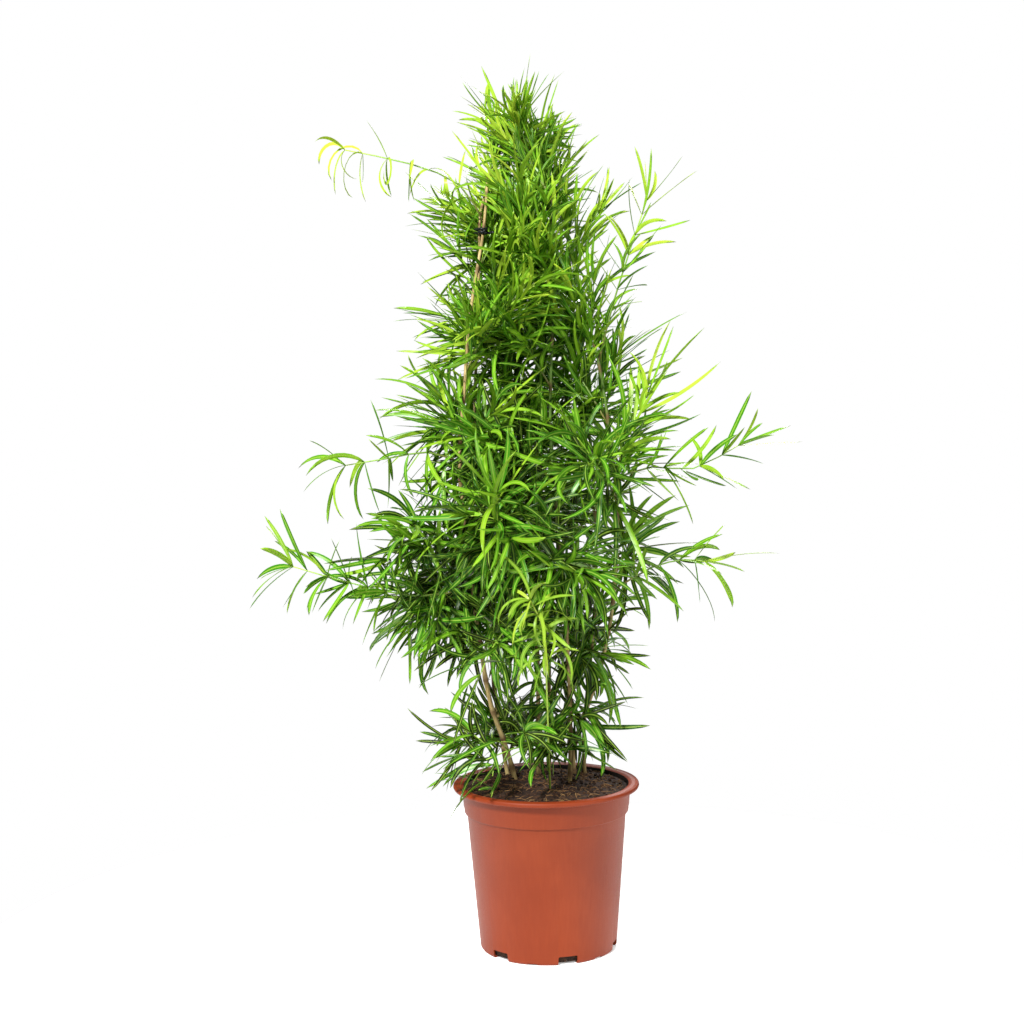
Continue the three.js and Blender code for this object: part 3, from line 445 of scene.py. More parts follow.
# Canes: seven old woody stems, tan and dry, a little thicker at the joints that once bore leaves,
# with a few small hooked thorns there. Each stands in the peat and keeps its own course.
CANE_SIDES = 12
LENGTH_STOPS = 24
CANE_RING = 4
JOINT_EVERY = 38
JOINT_SWELL = 0.3
JOINT_SHORT = 9
ZIGZAG = 0.55
GNARL = (0.12, 2.2)
THORN_SIDES = 6
THORN_CUTS = 3
THORN_LENGTH = 3.6
THORN_GIRTH = 0.75
THORN_SUNK = 0.7
THORN_POINT = 0.05
THORN_HOOK = 0.5
THORNS_ABOVE = 0.1
THORNS_BELOW = 0.62
STILL_TAN = ("left", "left_back")
TURNS_GREEN = (300, 470)
CANES = [
    {"name": "left", "root": 2.6, "tip": 1.3, "leafy": 205, "sprays": 7, "facing": 195, "fan": 75,
     "route": [
        (-26, 22, 140), (-39, 16, 198), (-56, 6, 254), (-66, -8, 328), (-73, -20, 396),
        (-81, -30, 488), (-76, -34, 562), (-68, -32, 640), (-54, -26, 725), (-48, -18, 780)]},
    {"name": "right", "root": 2.6, "tip": 1.3, "leafy": 230, "sprays": 6, "facing": -15, "fan": 70,
     "route": [
        (30, 44, 140), (31, 40, 195), (46, 30, 246), (62, 18, 299), (72, 4, 360),
        (76, -10, 440), (68, -20, 530), (56, -24, 610)]},
    {"name": "twin", "root": 2, "tip": 1.1, "leafy": 320, "sprays": 5, "facing": 45, "fan": 60,
     "route": [
        (42, 52, 140), (42, 48, 220), (50, 44, 300), (56, 42, 380), (54, 44, 480),
        (46, 44, 580), (38, 38, 690)]},
    {"name": "centre", "root": 2.4, "tip": 1, "leafy": 400, "sprays": 6, "facing": 250, "fan": 180,
     "route": [
        (-8, 40, 140), (-6, 36, 300), (-14, 30, 430), (-20, 22, 560), (-18, 12, 700), (-16, 4, 800)]},
    {"name": "back", "root": 2.2, "tip": 1, "leafy": 200, "sprays": 6, "facing": 90, "fan": 80,
     "route": [
        (4, 62, 140), (6, 70, 300), (2, 74, 430), (0, 66, 560), (6, 50, 680), (8, 34, 770)]},
    {"name": "left_back", "root": 2.2, "tip": 1.1, "leafy": 195, "sprays": 5, "facing": 150, "fan": 60,
     "route": [
        (-36, 48, 140), (-52, 56, 260), (-62, 58, 400), (-66, 44, 520), (-63, 14, 620),
        (-58, -14, 700), (-57, -18, 740), (-47, -6, 782)]},
    {"name": "front", "root": 2.2, "tip": 1, "leafy": 200, "sprays": 7, "facing": 275, "fan": 80,
     "route": [
        (24, 4, 140), (26, -8, 240), (22, -20, 340), (14, -26, 450), (10, -24, 560),
        (16, -18, 680), (14, -12, 760)]},
]


def mix(low, high, share):
    return low + (high - low) * share


def draw(a, b=0, c=0, d=0):
    """A number from 0 to 1 that is always the same for the same place on the plant."""
    x = math.sin(a * 12.9898 + b * 78.233 + c * 37.719 + d * 4.581) * 43758.5453
    return x - math.floor(x)


def along(route, share):
    """The point at a share of the way along a smooth route through the given points."""
    spans = len(route) - 1
    i = min(max(math.floor(share * spans), 0), spans - 1)
    f = share * spans - i
    a, b, c, d = (route[k] for k in (max(i - 1, 0), i, i + 1, min(i + 2, spans)))
    return Vector([b[k] + 0.5 * f * (c[k] - a[k] + f * (2 * a[k] - 5 * b[k] + 4 * c[k] - d[k]
                   + f * (3 * (b[k] - c[k]) + d[k] - a[k]))) for k in range(3)])


def heading(route, share):
    return (along(route, min(share + 0.02, 1)) - along(route, max(share - 0.02, 0))).normalized()


def stops_of(route, count, first=0):
    return [along(route, i / count) for i in range(first, count + 1)]


def route_length(route):
    stops = stops_of(route, LENGTH_STOPS)
    return sum((b - a).length for a, b in zip(stops, stops[1:]))


def around(axis):
    """Two directions square to an axis."""
    side = axis.cross(Vector((0, 0, 1)) if abs(axis.z) < 0.8 else Vector((0, 1, 0))).normalized()
    return side, side.cross(axis)


def bend_rod(verts, route, radius):
    """Carries an upright unit rod's vertices to a route, with a radius for each share of it."""
    side, _ = around((Vector(route[-1]) - Vector(route[0])).normalized())
    for vert in verts:
        share = vert.co.z
        ahead = heading(route, share)
        across = (side - ahead * side.dot(ahead)).normalized()
        section = across * vert.co.x + across.cross(ahead) * vert.co.y
        vert.co = (along(route, share) + section * radius(share)) * MM


def joint_at(cane, share, length):
    """How close a share of a cane is to one of its joints, from 0 to 1."""
    place = share * length / JOINT_EVERY + draw(len(cane["name"]), cane["leafy"])
    return math.exp(-((place - round(place)) * JOINT_SHORT) ** 2)


thorn = pattern(rod_template, THORN_SIDES, THORN_CUTS, THORN_POINT)


def cane_mesh(cane, c):
    length = route_length(cane["route"])
    joints = round(length / JOINT_EVERY)
    bm = bmesh.new()
    bark_tone = bm.verts.layers.float.new("joint")
    greenness = bm.verts.layers.float.new("green")
    rod_template(bm, CANE_SIDES, round(length / CANE_RING))
    verts = list(bm.verts)
    for vert in verts:
        vert[bark_tone] = joint_at(cane, vert.co.z, length)
    sway = [Vector((draw(c, i, 1) - 0.5, draw(c, i, 2) - 0.5, 0)) * 2 * ZIGZAG for i in range(joints + 2)]

    def radius(share):
        return mix(cane["root"], cane["tip"], share) * (1 + JOINT_SWELL * joint_at(cane, share, length))

    shares = [vert.co.z for vert in verts]
    height, spread = GNARL
    bend_rod(verts, cane["route"], radius)
    for vert, share in zip(verts, shares):
        place = share * joints
        shift = sway[int(place)].lerp(sway[int(place) + 1], place - int(place))
        gnarl = height * noise.noise(vert.co / MM / spread)
        vert.co += (shift + Vector((gnarl, gnarl, 0))) * MM
    for i in range(1, int(joints * THORNS_BELOW)):
        share = (i - draw(len(cane["name"]), cane["leafy"])) * JOINT_EVERY / length
        if share < THORNS_ABOVE:
            continue
        ahead = heading(cane["route"], share)
        u, v = around(ahead)
        roll = math.tau * draw(c, i, 3)
        out = u * math.cos(roll) + v * math.sin(roll)
        aside = out.cross(ahead)
        root = along(cane["route"], share) + out * mix(cane["root"], cane["tip"], share) * THORN_SUNK
        for vert in added(bm, thorn):
            s = vert.co.z
            hook = out * THORN_LENGTH * s - ahead * THORN_LENGTH * THORN_HOOK * s * s
            vert.co = (root + hook + (ahead * vert.co.x + aside * vert.co.y) * THORN_GIRTH) * MM
            vert[bark_tone] = 0.7 + 0.3 * s
    low, high = TURNS_GREEN
    for vert in bm.verts:
        if cane["name"] not in STILL_TAN:
            vert[greenness] = min(max((vert.co.z / MM - low) / (high - low), 0), 1)
    return bm


def woody_bark(name):
    """Dry stem bark: tan with fine streaks along it, darker at the joints, and green higher up."""
    made = material(name)
    place = add(made, "TexCoord").outputs["Object"]
    streak_map = add(made, "Mapping", {"Vector": place, "Scale": (1.0, 1.0, 0.08)})
    streaks = add(made, "TexNoise", {"Vector": streak_map.outputs[0], "Scale": 900.0, "Detail": 5.0})
    patches = add(made, "TexNoise", {"Vector": place, "Scale": 45.0, "Detail": 3.0})
    both = add(made, "Mix", {0: 0.45, 2: streaks.outputs["Fac"], 3: patches.outputs["Fac"]})
    tan = add(made, "ValToRGB", {"Fac": both.outputs[0]},
              [(0.32, "6E5C36"), (0.47, "988352"), (0.6, "AE9A66"), (0.72, "C2B284")])
    fresh = add(made, "Attribute", attribute_name="green")
    green = add(made, "ValToRGB", {"Fac": both.outputs[0]}, [(0.3, "34501A"), (0.7, "5C7A2C")])
    skin_tone = add(made, "Mix", {0: fresh.outputs["Fac"], 6: tan.outputs[0], 7: green.outputs[0]},
                    data_type="RGBA")
    joint = add(made, "Attribute", attribute_name="joint")
    spots = add(made, "Mix", {0: joint.outputs["Fac"], 6: skin_tone.outputs[2], 7: linear("5E4429")},
                data_type="RGBA")
    rough = add(made, "Bump", {"Height": both.outputs[0], "Strength": 0.5, "Distance": 0.0005})
    skin = add(made, "BsdfPrincipled", {"Base Color": spots.outputs[2], "Roughness": 0.72,
                                        "Specular IOR Level": 0.35, "Normal": rough.outputs[0]})
    add(made, "OutputMaterial", {"Surface": skin.outputs[0]})
    return made


bark = woody_bark("dry_stem_bark")
for c, cane in enumerate(CANES):
    stem = shown(cane_mesh(cane, c), "cane_" + cane["name"] + "_bark", bark)
    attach(stem, "root")
    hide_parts("cane_" + cane["name"])

# Plant tie: a short length of soft black plastic cord, wound twice round the left cane and the one
# behind it, knotted on the left with two cut ends that stick out.
TIE_HEIGHT = 727
TIE_RADIUS = 1.3
TIE_SNUG = 3.4
TIE_STEPS = 40
TIE_SIDES = 10
TURN_SHARE = 0.97
TURNS_APART = 1.5
TURN_SLOPE = 0.8
KNOT = [(1.5, 1.6, -2.4), (-1.6, 2.2, -1), (-2.2, 0, 1.8), (-0.4, -2.2, 2.2), (0.6, -1.6, -1.2),
        (-1.8, 0.4, -2.6), (-1.4, 1.8, 1.2)]
LOOSE_END = [(0, 0, 1), (-4.5, 2.4, 2.4), (-7.65, 4.2, 1.6), (-9, 4.9, 2.6)]
END_TAPER = 0.7
HALVINGS = 30


def share_at(route, height):
    """The share of a cane's route at which it reaches a height."""
    low, high = 0, 1
    for _ in range(HALVINGS):
        middle = (low + high) / 2
        if along(route, middle).z < height:
            low = middle
        else:
            high = middle
    return low


def cord(bm, route, radius):
    """A round cord along a route of points, closed at both ends."""
    bend_rod(added(bm, pattern(rod_template, TIE_SIDES, TIE_STEPS)), route, radius)


def tie_mesh():
    left, back = [along(cane["route"], share_at(cane["route"], TIE_HEIGHT))
                  for cane in CANES if cane["name"] in ("left", "left_back")]
    half = (back - left).length / 2
    bm = bmesh.new()
    one_turn = pattern(rod_template, TIE_SIDES, TIE_STEPS)
    for side in (-1, 1):
        for vert in added(bm, one_turn):
            a = math.tau * vert.co.z * TURN_SHARE + math.pi
            out = Vector((math.cos(a), math.sin(a), 0))
            rise = side * TURNS_APART + TURN_SLOPE * math.sin(a)
            centre = out * TIE_SNUG + Vector((half if out.x > 0 else -half, 0, rise))
            vert.co = centre + (out * vert.co.x + Vector((0, 0, vert.co.y))) * TIE_RADIUS
    knot_x = -(half + TIE_SNUG)
    bmesh.ops.scale(bm, vec=(MM, MM, MM), verts=bm.verts)
    cord(bm, [(knot_x + x, y, z) for x, y, z in KNOT], lambda share: TIE_RADIUS)
    for side in (-1, 1):
        end = [(knot_x + x, side * y, side * z) for x, y, z in LOOSE_END]
        cord(bm, end, lambda share: TIE_RADIUS * mix(1, END_TAPER, share))
    lie = math.atan2(back.y - left.y, back.x - left.x)
    frame_of_tie = Matrix.Translation((left + back) / 2 * MM) @ Matrix.Rotation(lie, 4, "Z")
    bmesh.ops.transform(bm, matrix=frame_of_tie, verts=bm.verts)
    bmesh.ops.recalc_face_normals(bm, faces=bm.faces)
    return bm


tie_plastic = moulded_plastic("soft_black_tie_plastic", "0B0C0D", "121415", "1B1E20", 0.34)
plant_tie = shown(tie_mesh(), "plant_tie_cord", tie_plastic)
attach(plant_tie, "root")
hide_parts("plant_tie")

# Sprays and shoots: thin green twigs that branch once and carry whorls of cladodes, the flat stems
# that serve as leaves. Each is sickle-shaped, leathery and satin, with a pale rib; young ones are
# yellow-green and let light through. Their green also carries painted light and shade: lighter high
# up and on the outside of the crown, darker low down and in its core. They all grow by one rule
# with fixed draws.
SHOOTS = [
    {"name": "top_left_shoot", "cane": "left", "height": 735, "step": 17, "most": 4, "bare": 0.1,
     "tilt": 80, "droop": 1.3, "blade": 58, "route": [(-76, -34, 772), (-123, -40, 792), (-186, -44, 806)]},
    {"name": "left_shoot", "cane": "left", "height": 500, "step": 18, "most": 4, "bare": 0.1,
     "tilt": 75, "droop": 0.8, "blade": 66,
     "route": [(-112, -44, 511), (-150, -50, 506), (-192, -54, 500)]},
    {"name": "far_left_shoot", "cane": "left", "height": 372, "step": 17, "most": 7, "bare": 0.1,
     "tilt": 64, "droop": 0.32, "blade": 62,
     "route": [(-125, -40, 368), (-185, -56, 383), (-245, -62, 402)]},
    {"name": "right_shoot", "cane": "right", "height": 480, "step": 18, "most": 5, "bare": 0.1,
     "tilt": 48, "droop": 0.02, "blade": 56, "route": [(110, -30, 492), (150, -36, 490), (194, -40, 512)]},
    {"name": "upper_right_shoot", "cane": "right", "height": 510, "step": 16, "most": 6, "bare": 0.1,
     "tilt": 34, "droop": 0.02, "blade": 80, "route": [(84, -28, 524), (96, -34, 540), (104, -36, 560)]},
    {"name": "top_right_shoot", "cane": "right", "height": 596, "step": 18, "most": 5, "bare": 0.2,
     "tilt": 46, "droop": 0.02, "blade": 56, "route": [(72, -32, 650), (88, -42, 700), (106, -48, 752)]},
    {"name": "low_right_shoot", "cane": "right", "height": 366, "step": 19, "most": 5, "bare": 0.1,
     "tilt": 58, "droop": 0.2, "blade": 60, "route": [(110, -14, 390), (142, -22, 398), (162, -26, 396)]},
    {"name": "young_shoot", "cane": None, "step": 18, "most": 6, "bare": 0.45, "tilt": 70, "droop": 0.8,
     "blade": 50,
     "route": [(4, -22, 140), (2, -50, 240), (0, -92, 310), (-2, -108, 344), (-14, -120, 372)]},
]
MIDLINE_X = [(160, -28), (300, -24), (370, -28), (450, 0), (560, -14), (650, -40), (740, -12), (790, 0),
             (860, 18)]
MIDLINE_Y = [(300, 10), (600, 4)]
REACH = [(160, 66), (230, 64), (300, 66), (360, 108), (430, 130), (500, 120), (545, 56), (580, 38),
         (620, 38), (660, 52), (720, 44), (780, 44), (860, 26)]
DEPTH_SHARE = 0.85
RISE = [(160, 2), (300, 16), (420, 38), (540, 66), (680, 78), (740, 60), (800, 36)]
STEP = [(160, 13), (850, 12)]
MOST = [(500, 6), (650, 4)]
LEAN = [(500, 44), (620, 28), (720, 16), (850, 6)]
TILT = [(160, 80), (300, 76), (430, 68), (540, 46), (640, 32), (800, 20)]
DROOP = [(160, 0.34), (300, 0.3), (430, 0.2), (540, 0.1), (700, 0.02), (850, 0)]
BLADE_LENGTH = [(160, 62), (400, 72), (560, 70), (700, 60), (850, 54)]
BLADE_WIDTH = [(160, 4.7), (400, 4.7), (560, 4), (700, 3.4), (850, 3)]
WIDTH_ALONG = [(0, 0.22), (0.06, 0.5), (0.14, 0.8), (0.26, 0.97), (0.42, 1), (0.6, 0.98), (0.76, 0.86),
               (0.88, 0.62), (0.95, 0.36), (1, 0)]
SICKLE = 0.55
FLIP = 55
ROLL_SPREAD = 0.35
FACE_UP = 0.6
LAST_TILT = 0.6
LONGEST = 0.35
TILT_RANGE = (0.6, 1.4)
SIZE_RANGE = (0.6, 1.1)
WIDTH_RANGE = (0.8, 1.2)
DROOP_RANGE = (0.3, 1.7)
SHOOT_RANGE = (0.6, 1.2)
FEWEST = 3
RISE_RANGE = (0.6, 1.4)
REACH_RANGE = (0.78, 1.18)
SPRAY_ARCH = 0.12
WHORL_TURN = 0.31
LEAN_SPREAD = 28
TWIG_REACH = 46
TWIG_SHARE = 0.45
TWIG_RANGE = (0.45, 1.25)
TWIGS_ROUND = 2
TWIG_ARCH = 0.06
AXIS_CLEAR = 6
ATTEMPTS = 24
TURN_STEP = 12
OWN_CANE_STOPS = 3
CANE_STOPS = 90
SHOOT_STOPS = 30
SPRAY_STOPS = 16
GOLDEN_TURN = 137.5
GOLDEN_SHARE = 0.618
FAN_START = 0.3
ALL_ROUND = 180
POT_MARGIN = (6, 9)
BARE_STRETCHES = [(150, 300, 7), (712, 740, 12)]
BARE_STOPS = (0.15, 0.3, 0.45, 0.6, 0.75, 0.9, 1)
BLADE_CUTS = 8
BLADE_SHARE = 0.995
BLADE_THICK = 0.36
CHANNEL = 0.1
TWIST = 0.7
TWIG_SIDES = 5
TWIG_CUTS = 5
YOUNG_WIDTH = 0.75
THIN_BY = 0.6
RIB_SHARE = 0.35
# Painted light and shade in the cladodes' green: lighter up between these heights, darker below them down
# to the deepest shade, and darker in the crown's core than on its outside.
LIGHT_FROM = (340, 810)
DEEPEST_SHADE = -0.36
USUAL_LIGHT = 0.65
USUAL_LUCK = 0.38
YOUTH_AND_LIGHT_SHARES = {"high": 0.42, "out": 0.2, "light": 0.3, "luck": 0.6, "single": 0.18}
AXIS_RADII = (1.15, 0.55)
TWIG_RADII = (0.7, 0.4)


def level(profile, height):
    """The value of a profile of (height, value) pairs at a height."""
    if height <= profile[0][0]:
        return profile[0][1]
    for (low, start), (high, end) in zip(profile, profile[1:]):
        if height <= high:
            return mix(start, end, (height - low) / (high - low))
    return profile[-1][1]


def spray_route(cane, c, j, turn):
    """The axis of one side spray: out of its cane, up and over to the crown's edge."""
    height = mix(cane["leafy"], cane["route"][-1][2], j / (cane["sprays"] - 1))
    root = along(cane["route"], share_at(cane["route"], height))
    z = height + level(RISE, height) * mix(*RISE_RANGE, draw(c, j, 1))
    reach = level(REACH, z) * mix(*REACH_RANGE, draw(c, j, 2))
    way = math.radians(turn)
    tip = Vector((level(MIDLINE_X, z) + reach * math.cos(way),
                  level(MIDLINE_Y, z) + DEPTH_SHARE * reach * math.sin(way), z))
    middle = (root + tip) / 2
    middle.z += SPRAY_ARCH * (tip - root).length
    return [root, middle, tip]


def kd_of(stops):
    tree = KDTree(len(stops))
    for i, stop in enumerate(stops):
        tree.insert(stop, i)
    tree.balance()
    return tree


def grow_shoots():
    grown = []
    for s, shoot in enumerate(SHOOTS):
        found = [cane for cane in CANES if cane["name"] == shoot["cane"]]
        root = [along(cane["route"], share_at(cane["route"], shoot["height"])) for cane in found]
        grown.append({**shoot, "key": (20 + s, 0), "route": root + shoot["route"], "single": True})
    return grown


def grow_sprays():
    """Each spray turns a little further round its cane until it is clear of what grew before it."""
    grown = [(cane["name"], kd_of(stops_of(cane["route"], CANE_STOPS))) for cane in CANES]
    shoots = grow_shoots()
    grown += [(None, kd_of(stops_of(shoot["route"], SHOOT_STOPS, 1))) for shoot in shoots]
    sprays = []
    for c, cane in enumerate(CANES):
        for j in range(cane["sprays"]):
            turn = cane["facing"] + cane["fan"] * (2 * ((j * GOLDEN_SHARE + FAN_START) % 1) - 1)
            if cane["fan"] == ALL_ROUND:
                turn = cane["facing"] + j * GOLDEN_TURN
            for attempt in range(ATTEMPTS):
                step = TURN_STEP * math.floor((attempt + 1) / 2) * (1 if attempt % 2 else -1)
                route = spray_route(cane, c, j, turn + step)
                stops = stops_of(route, SPRAY_STOPS)
                if all(tree.find(stop)[2] > AXIS_CLEAR for name, tree in grown
                       for stop in stops[OWN_CANE_STOPS if name == cane["name"] else 0 :]):
                    break
            grown.append((None, kd_of(stops)))
            sprays.append({"name": f"spray_{cane['name']}_{j + 1}", "key": (c, j), "route": route,
                           "most": math.floor(level(MOST, route[0][2])), "bare": 0, "single": False,
                           "step": level(STEP, route[0][2])})
    return sprays + shoots


def grow_twigs(spray):
    """A spray's own axis, and the short side twigs that leave it at each whorl."""
    length = route_length(spray["route"])
    twigs = [{"route": spray["route"], "length": length, "radii": AXIS_RADII, "out": 0}]
    if spray["single"]:
        return twigs
    whorls = max(math.floor(length / spray["step"]), 2)
    for n in range(TWIGS_ROUND * (whorls - 1)):
        i = 1 + n // TWIGS_ROUND
        foot = along(spray["route"], i / whorls)
        ahead = heading(spray["route"], i / whorls)
        u, v = around(ahead)
        roll = math.tau * (i * WHORL_TURN + (n + draw(*spray["key"], 5, n)) / TWIGS_ROUND)
        lean = math.radians(level(LEAN, foot.z) + LEAN_SPREAD * draw(*spray["key"], 7, n))
        way = ahead * math.cos(lean) + (u * math.cos(roll) + v * math.sin(roll)) * math.sin(lean)
        reach = min(TWIG_REACH, TWIG_SHARE * length) * mix(*TWIG_RANGE, draw(*spray["key"], 6, n))
        middle = foot + way * reach / 2
        middle.z += TWIG_ARCH * reach
        route = [foot, middle, foot + way * reach]
        twigs.append({"route": route, "length": route_length(route), "radii": TWIG_RADII,
                      "out": i / whorls})
    return twigs


def grow_blades(spray, twig, t):
    """The cladodes of one twig, whorl by whorl."""
    whorls = max(math.floor(twig["length"] / spray["step"]), 2)
    blades = []
    for i in range(1, whorls + 1):
        if i / whorls < spray["bare"]:
            continue
        foot = along(twig["route"], i / whorls)
        ahead = heading(twig["route"], i / whorls)
        chance = draw(*spray["key"], 10 + t, i)
        few = FEWEST + math.floor((spray["most"] - FEWEST + 1) * chance)
        if spray["single"]:
            few = max(2, math.floor(spray["most"] * mix(*SHOOT_RANGE, chance)))
        count = few + 1 if i == whorls else few
        spin = draw(*spray["key"], 20 + t, i)
        for k in range(count):
            blades.append(grow_blade(spray, foot, ahead, 30 + t * 8 + k, i, (k, count, spin), i == whorls))
            blades[-1]["out"] = mix(twig["out"], 1, i / whorls)
    return [blade for blade in blades if not meets_pot(blade) and not hides_cane(blade)]


def grow_blade(spray, foot, ahead, q, i, place_in_whorl, is_last):
    """One cladode: it leaves the twig at a tilt, droops, and bends sideways like a sickle."""

    def chance(n):
        return draw(*spray["key"], q + n, i)

    u, v = around(ahead)
    k, count, spin = place_in_whorl
    roll = math.tau * ((k + ROLL_SPREAD * (chance(0) - 0.5)) / count + spin)
    lean = spray.get("tilt") or level(TILT, foot.z)
    lean = math.radians(lean * mix(*TILT_RANGE, chance(200)) * (LAST_TILT if is_last else 1))
    way = ahead * math.cos(lean) + (u * math.cos(roll) + v * math.sin(roll)) * math.sin(lean)
    way.normalize()
    size = mix(*SIZE_RANGE, chance(400)) + LONGEST * chance(450) ** 5
    face = ahead + Vector((0, 0, FACE_UP))
    face = (face - way * face.dot(way)).normalized()
    flip = math.radians(FLIP * (2 * chance(1000) - 1))
    flat = way.cross(face) * math.cos(flip) + face * math.sin(flip)
    droop = spray.get("droop", level(DROOP, foot.z)) * mix(*DROOP_RANGE, chance(600))
    bend = flat * SICKLE * (2 * chance(700) - 1) - Vector((0, 0, droop))
    bend -= way * bend.dot(way)
    return {
        "foot": foot, "way": way, "flat": flat, "side": bend.normalized(), "curl": 2 * bend.length,
        "length": (spray.get("blade") or level(BLADE_LENGTH, foot.z)) * size,
        "width": level(BLADE_WIDTH, foot.z) * mix(*WIDTH_RANGE, chance(500)),
        "twist": TWIST * (2 * chance(800) - 1),
        "luck": chance(900),
    }


def blade_point(blade, s):
    """A blade's middle line is an arc: it starts along its way and curls to its side."""
    turn, bow = blade["curl"] * s, blade["length"] / blade["curl"]
    return blade["foot"] + (blade["way"] * math.sin(turn) + blade["side"] * (1 - math.cos(turn))) * bow


def meets_pot(blade):
    up, out = POT_MARGIN
    spots = [blade_point(blade, s) for s in (0.25, 0.5, 0.75, 1)]
    return any(spot.z < POT_HEIGHT + up and math.hypot(spot.x, spot.y) < RIM_RADIUS + out for spot in spots)


def hides_cane(blade):
    """Whether a blade hangs in front of the left cane's foot or of the tie, which show."""
    route = CANES[0]["route"]
    for spot in [blade_point(blade, s) for s in BARE_STOPS]:
        for low, high, beside in BARE_STRETCHES:
            if low < spot.z < high:
                cane = along(route, share_at(route, spot.z))
                if spot.y < cane.y and abs(spot.x - cane.x) < beside:
                    return True
    return False


def blade_pattern(bm):
    """A flat four-sided rod that ends in a point: a rib above, a keel below and two thin edges.
    Its map runs across from edge to edge and along from root to tip."""
    rod_template(bm, 4, BLADE_CUTS)
    tip = [vert for vert in bm.verts if vert.co.z > 0.999]
    bmesh.ops.pointmerge(bm, verts=tip, merge_co=(0, 0, 1))
    bmesh.ops.recalc_face_normals(bm, faces=bm.faces)
    across = bm.loops.layers.uv.new("blade")
    for face in bm.faces:
        for loop in face.loops:
            loop[across].uv = (0.5 + loop.vert.co.x / 2, loop.vert.co.z)
    for edge in bm.edges:
        edge.smooth = any(abs(vert.co.x) < 0.5 for vert in edge.verts)


def place_blade(verts, blade):
    """Carries a copy of the pattern to its blade: width, channel, twist, droop and sickle."""
    frames = []
    for i in range(BLADE_CUTS + 2):
        s = i / (BLADE_CUTS + 1) * BLADE_SHARE
        curled = Matrix.Rotation(blade["curl"] * s, 3, blade["way"].cross(blade["side"]))
        flat, ahead = curled @ blade["flat"], curled @ blade["way"]
        flat.rotate(Matrix.Rotation(blade["twist"] * s * s, 3, ahead))
        half = blade["width"] * level(WIDTH_ALONG, s) / 2
        frames.append((blade_point(blade, s), flat, flat.cross(ahead), half, 1 - THIN_BY * s))
    for vert in verts:
        centre, flat, face, half, thick = frames[round(vert.co.z * (BLADE_CUTS + 1))]
        side = RIB_SHARE if vert.co.y > 0 else 1 - RIB_SHARE
        lift = CHANNEL * 2 * half * abs(vert.co.x) + BLADE_THICK * thick * vert.co.y * side
        vert.co = (centre + flat * vert.co.x * half + face * lift) * MM


def verts_in(geometry):
    return [one for one in geometry if isinstance(one, bmesh.types.BMVert)]


def with_faces(verts):
    """These vertices with their edges and faces."""
    edges = {edge for vert in verts for edge in vert.link_edges}
    return verts + list(edges) + list({face for vert in verts for face in vert.link_faces})


blade_shape = pattern(blade_pattern)
twig_shape = pattern(rod_template, TWIG_SIDES, TWIG_CUTS)


def blade_youth_and_light(spray, blade):
    """How young a cladode looks, from 0 to about 1, with painted light and shade added: it is younger
    near a twig's end, on a lone shoot and at random, and it is painted lighter high up and on the
    outside of the crown and darker low down and in the crown's core."""
    foot = blade["foot"]
    low, top = LIGHT_FROM
    aside = math.hypot(foot.x - level(MIDLINE_X, foot.z), foot.y - level(MIDLINE_Y, foot.z))
    # The high and light signs are painted light and shade: lighter high up and on the outside of the crown,
    # darker low down and in its core. The others are real age and chance.
    signs = {
        "high": min(max((foot.z - low) / (top - low), DEEPEST_SHADE), 1),
        "out": blade["out"] ** 3,
        "light": min(aside / level(REACH, foot.z), 1) - USUAL_LIGHT,
        "luck": blade["luck"] - USUAL_LUCK,
        "single": 1 if spray["single"] else 0,
    }
    return sum(YOUTH_AND_LIGHT_SHARES[sign] * value for sign, value in signs.items())


def spray_mesh(spray):
    bm = bmesh.new()
    youth_and_light = bm.verts.layers.float.new("youth_and_light")
    luck = bm.verts.layers.float.new("luck")
    blade = with_faces(added(bm, blade_shape))
    twig = with_faces(added(bm, twig_shape, 1))
    for t, grown in enumerate(grow_twigs(spray)):
        radii = grown["radii"]
        verts = verts_in(bmesh.ops.duplicate(bm, geom=twig)["geom"])
        for vert in verts:
            vert[youth_and_light] = mix(grown["out"], 1, vert.co.z)
        bend_rod(verts, grown["route"], lambda share: mix(*radii, share))
        for one in grow_blades(spray, grown, t):
            if spray["name"] == "young_shoot":
                one["width"] *= YOUNG_WIDTH
            verts = verts_in(bmesh.ops.duplicate(bm, geom=blade)["geom"])
            # The cladode's age, with painted light and shade from its height and its place in the crown.
            age_and_light = blade_youth_and_light(spray, one)
            for vert in verts:
                vert[youth_and_light] = age_and_light
                vert[luck] = one["luck"]
            place_blade(verts, one)
    bmesh.ops.delete(bm, geom=verts_in(blade + twig), context="VERTS")
    return bm


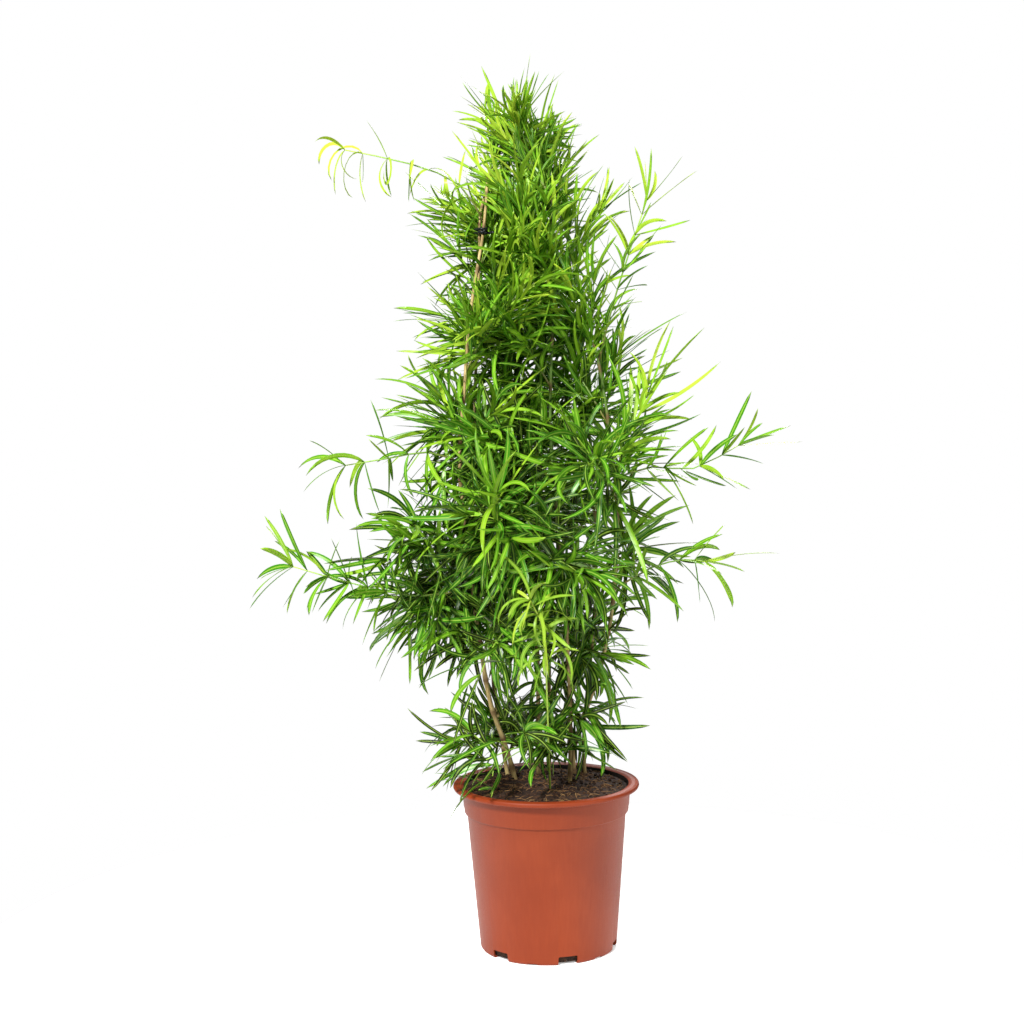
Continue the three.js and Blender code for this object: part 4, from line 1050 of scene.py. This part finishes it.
def leaf_tissue(name, stops, glow):
    """Leathery leaf: green by age with painted light and shade in it, a pale rib and edges, fine veins
    along it, satin above, and thin enough that light from behind comes through warmer."""
    made = material(name)
    age_and_light = add(made, "Attribute", attribute_name="youth_and_light").outputs["Fac"]
    map_uv = add(made, "UVMap", uv_map="blade").outputs[0]
    parts = add(made, "SeparateXYZ", {"Vector": map_uv}).outputs
    place = add(made, "TexCoord").outputs["Object"]
    patch = add(made, "TexNoise", {"Vector": place, "Scale": 70.0, "Detail": 3.0})
    aged = add(made, "MapRange", {"Value": patch.outputs["Fac"], "To Min": -0.16, "To Max": 0.16})
    tone = add(made, "Math", {0: age_and_light, 1: aged.outputs[0]}, operation="ADD")
    # The ramp turns age, with its painted light and shade, into green.
    green = add(made, "ValToRGB", {"Fac": tone.outputs[0]}, stops)
    from_rib = add(made, "Math", {0: parts[0], 1: 0.5}, operation="SUBTRACT")
    away = add(made, "Math", {0: from_rib.outputs[0]}, operation="ABSOLUTE")
    rib = add(made, "MapRange", {"Value": away.outputs[0], "From Min": 0.08, "From Max": 0.17,
                                 "To Min": 0.65, "To Max": 0.0})
    edge = add(made, "MapRange", {"Value": away.outputs[0], "From Min": 0.4, "From Max": 0.48,
                                  "To Min": 0.0, "To Max": 0.3})
    pale = add(made, "Math", {0: rib.outputs[0], 1: edge.outputs[0]}, operation="MAXIMUM")
    ribbed = add(made, "Mix", {0: pale.outputs[0], 6: green.outputs[0], 7: linear("A8CA4C")},
                 data_type="RGBA")
    veins = add(made, "TexWave", {"Vector": map_uv, "Scale": 1.3, "Distortion": 0.6, "Detail": 1.0},
                bands_direction="X")
    veined = add(made, "Mix", {0: 0.15, 6: ribbed.outputs[2], 7: veins.outputs["Color"]},
                 data_type="RGBA", blend_type="MULTIPLY")
    relief = add(made, "Bump", {"Height": veins.outputs["Fac"], "Strength": 0.15, "Distance": 0.0003})
    wax = add(made, "MapRange", {"Value": patch.outputs["Fac"], "To Min": 0.24, "To Max": 0.42})
    skin = add(made, "BsdfPrincipled", {"Base Color": veined.outputs[2], "Roughness": wax.outputs[0],
                                        "IOR": 1.42, "Specular IOR Level": 0.3,
                                        "Coat Weight": 0.12, "Coat Roughness": 0.24,
                                        "Normal": relief.outputs[0]})
    through = add(made, "Mix", {0: 0.35, 6: veined.outputs[2], 7: linear("B8CA38")}, data_type="RGBA")
    behind = add(made, "BsdfTranslucent", {"Color": through.outputs[2], "Normal": relief.outputs[0]})
    both = add(made, "MixShader", {0: glow, 1: skin.outputs[0], 2: behind.outputs[0]})
    add(made, "OutputMaterial", {"Surface": both.outputs[0]})
    return made


def twig_skin(name, stops):
    """Thin green stem: smooth, browner near its root, yellower towards its tip."""
    made = material(name)
    age_and_light = add(made, "Attribute", attribute_name="youth_and_light").outputs["Fac"]
    place = add(made, "TexCoord").outputs["Object"]
    streak_map = add(made, "Mapping", {"Vector": place, "Scale": (1.0, 1.0, 0.3)})
    streaks = add(made, "TexNoise", {"Vector": streak_map.outputs[0], "Scale": 600.0, "Detail": 2.0})
    shift = add(made, "MapRange", {"Value": streaks.outputs["Fac"], "To Min": -0.2, "To Max": 0.2})
    tone = add(made, "Math", {0: age_and_light, 1: shift.outputs[0]}, operation="ADD")
    shade = add(made, "ValToRGB", {"Fac": tone.outputs[0]}, stops)
    ridge = add(made, "Bump", {"Height": streaks.outputs["Fac"], "Strength": 0.3, "Distance": 0.0003})
    skin = add(made, "BsdfPrincipled", {"Base Color": shade.outputs[0], "Roughness": 0.5,
                                        "Normal": ridge.outputs[0]})
    add(made, "OutputMaterial", {"Surface": skin.outputs[0]})
    return made


# Greens from the oldest and most shaded cladodes to the youngest and most lit; the light and shade in them
# are painted.
LEAF_GREENS_BY_AGE_AND_LIGHT = [(0.0, "061E05"), (0.18, "184F08"), (0.4, "428E12"), (0.66, "7EB61C"), (1.0, "C2DC3E")]
YOUNG_GREENS_BY_AGE_AND_LIGHT = [(0.0, "5C9020"), (0.4, "86B02C"), (0.8, "B4CE40")]
leaf = leaf_tissue("leathery_cladode", LEAF_GREENS_BY_AGE_AND_LIGHT, 0.3)
young_leaf = leaf_tissue("young_cladode", YOUNG_GREENS_BY_AGE_AND_LIGHT, 0.34)
green_twig = twig_skin("green_twig", [(0.0, "7A6A3C"), (0.3, "5E7A2A"), (0.7, "6E9A2C"), (1.0, "9CBE3A")])
young_twig = twig_skin("young_twig", [(0.0, "7E9A34"), (0.5, "9CB83C"), (1.0, "B8CC4A")])
for spray in grow_sprays():
    is_young = spray["name"] == "young_shoot"
    finishes = (young_leaf, young_twig) if is_young else (leaf, green_twig)
    foliage = shown(spray_mesh(spray), spray["name"] + "_foliage", *finishes)
    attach(foliage, "root")
    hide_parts(spray["name"])
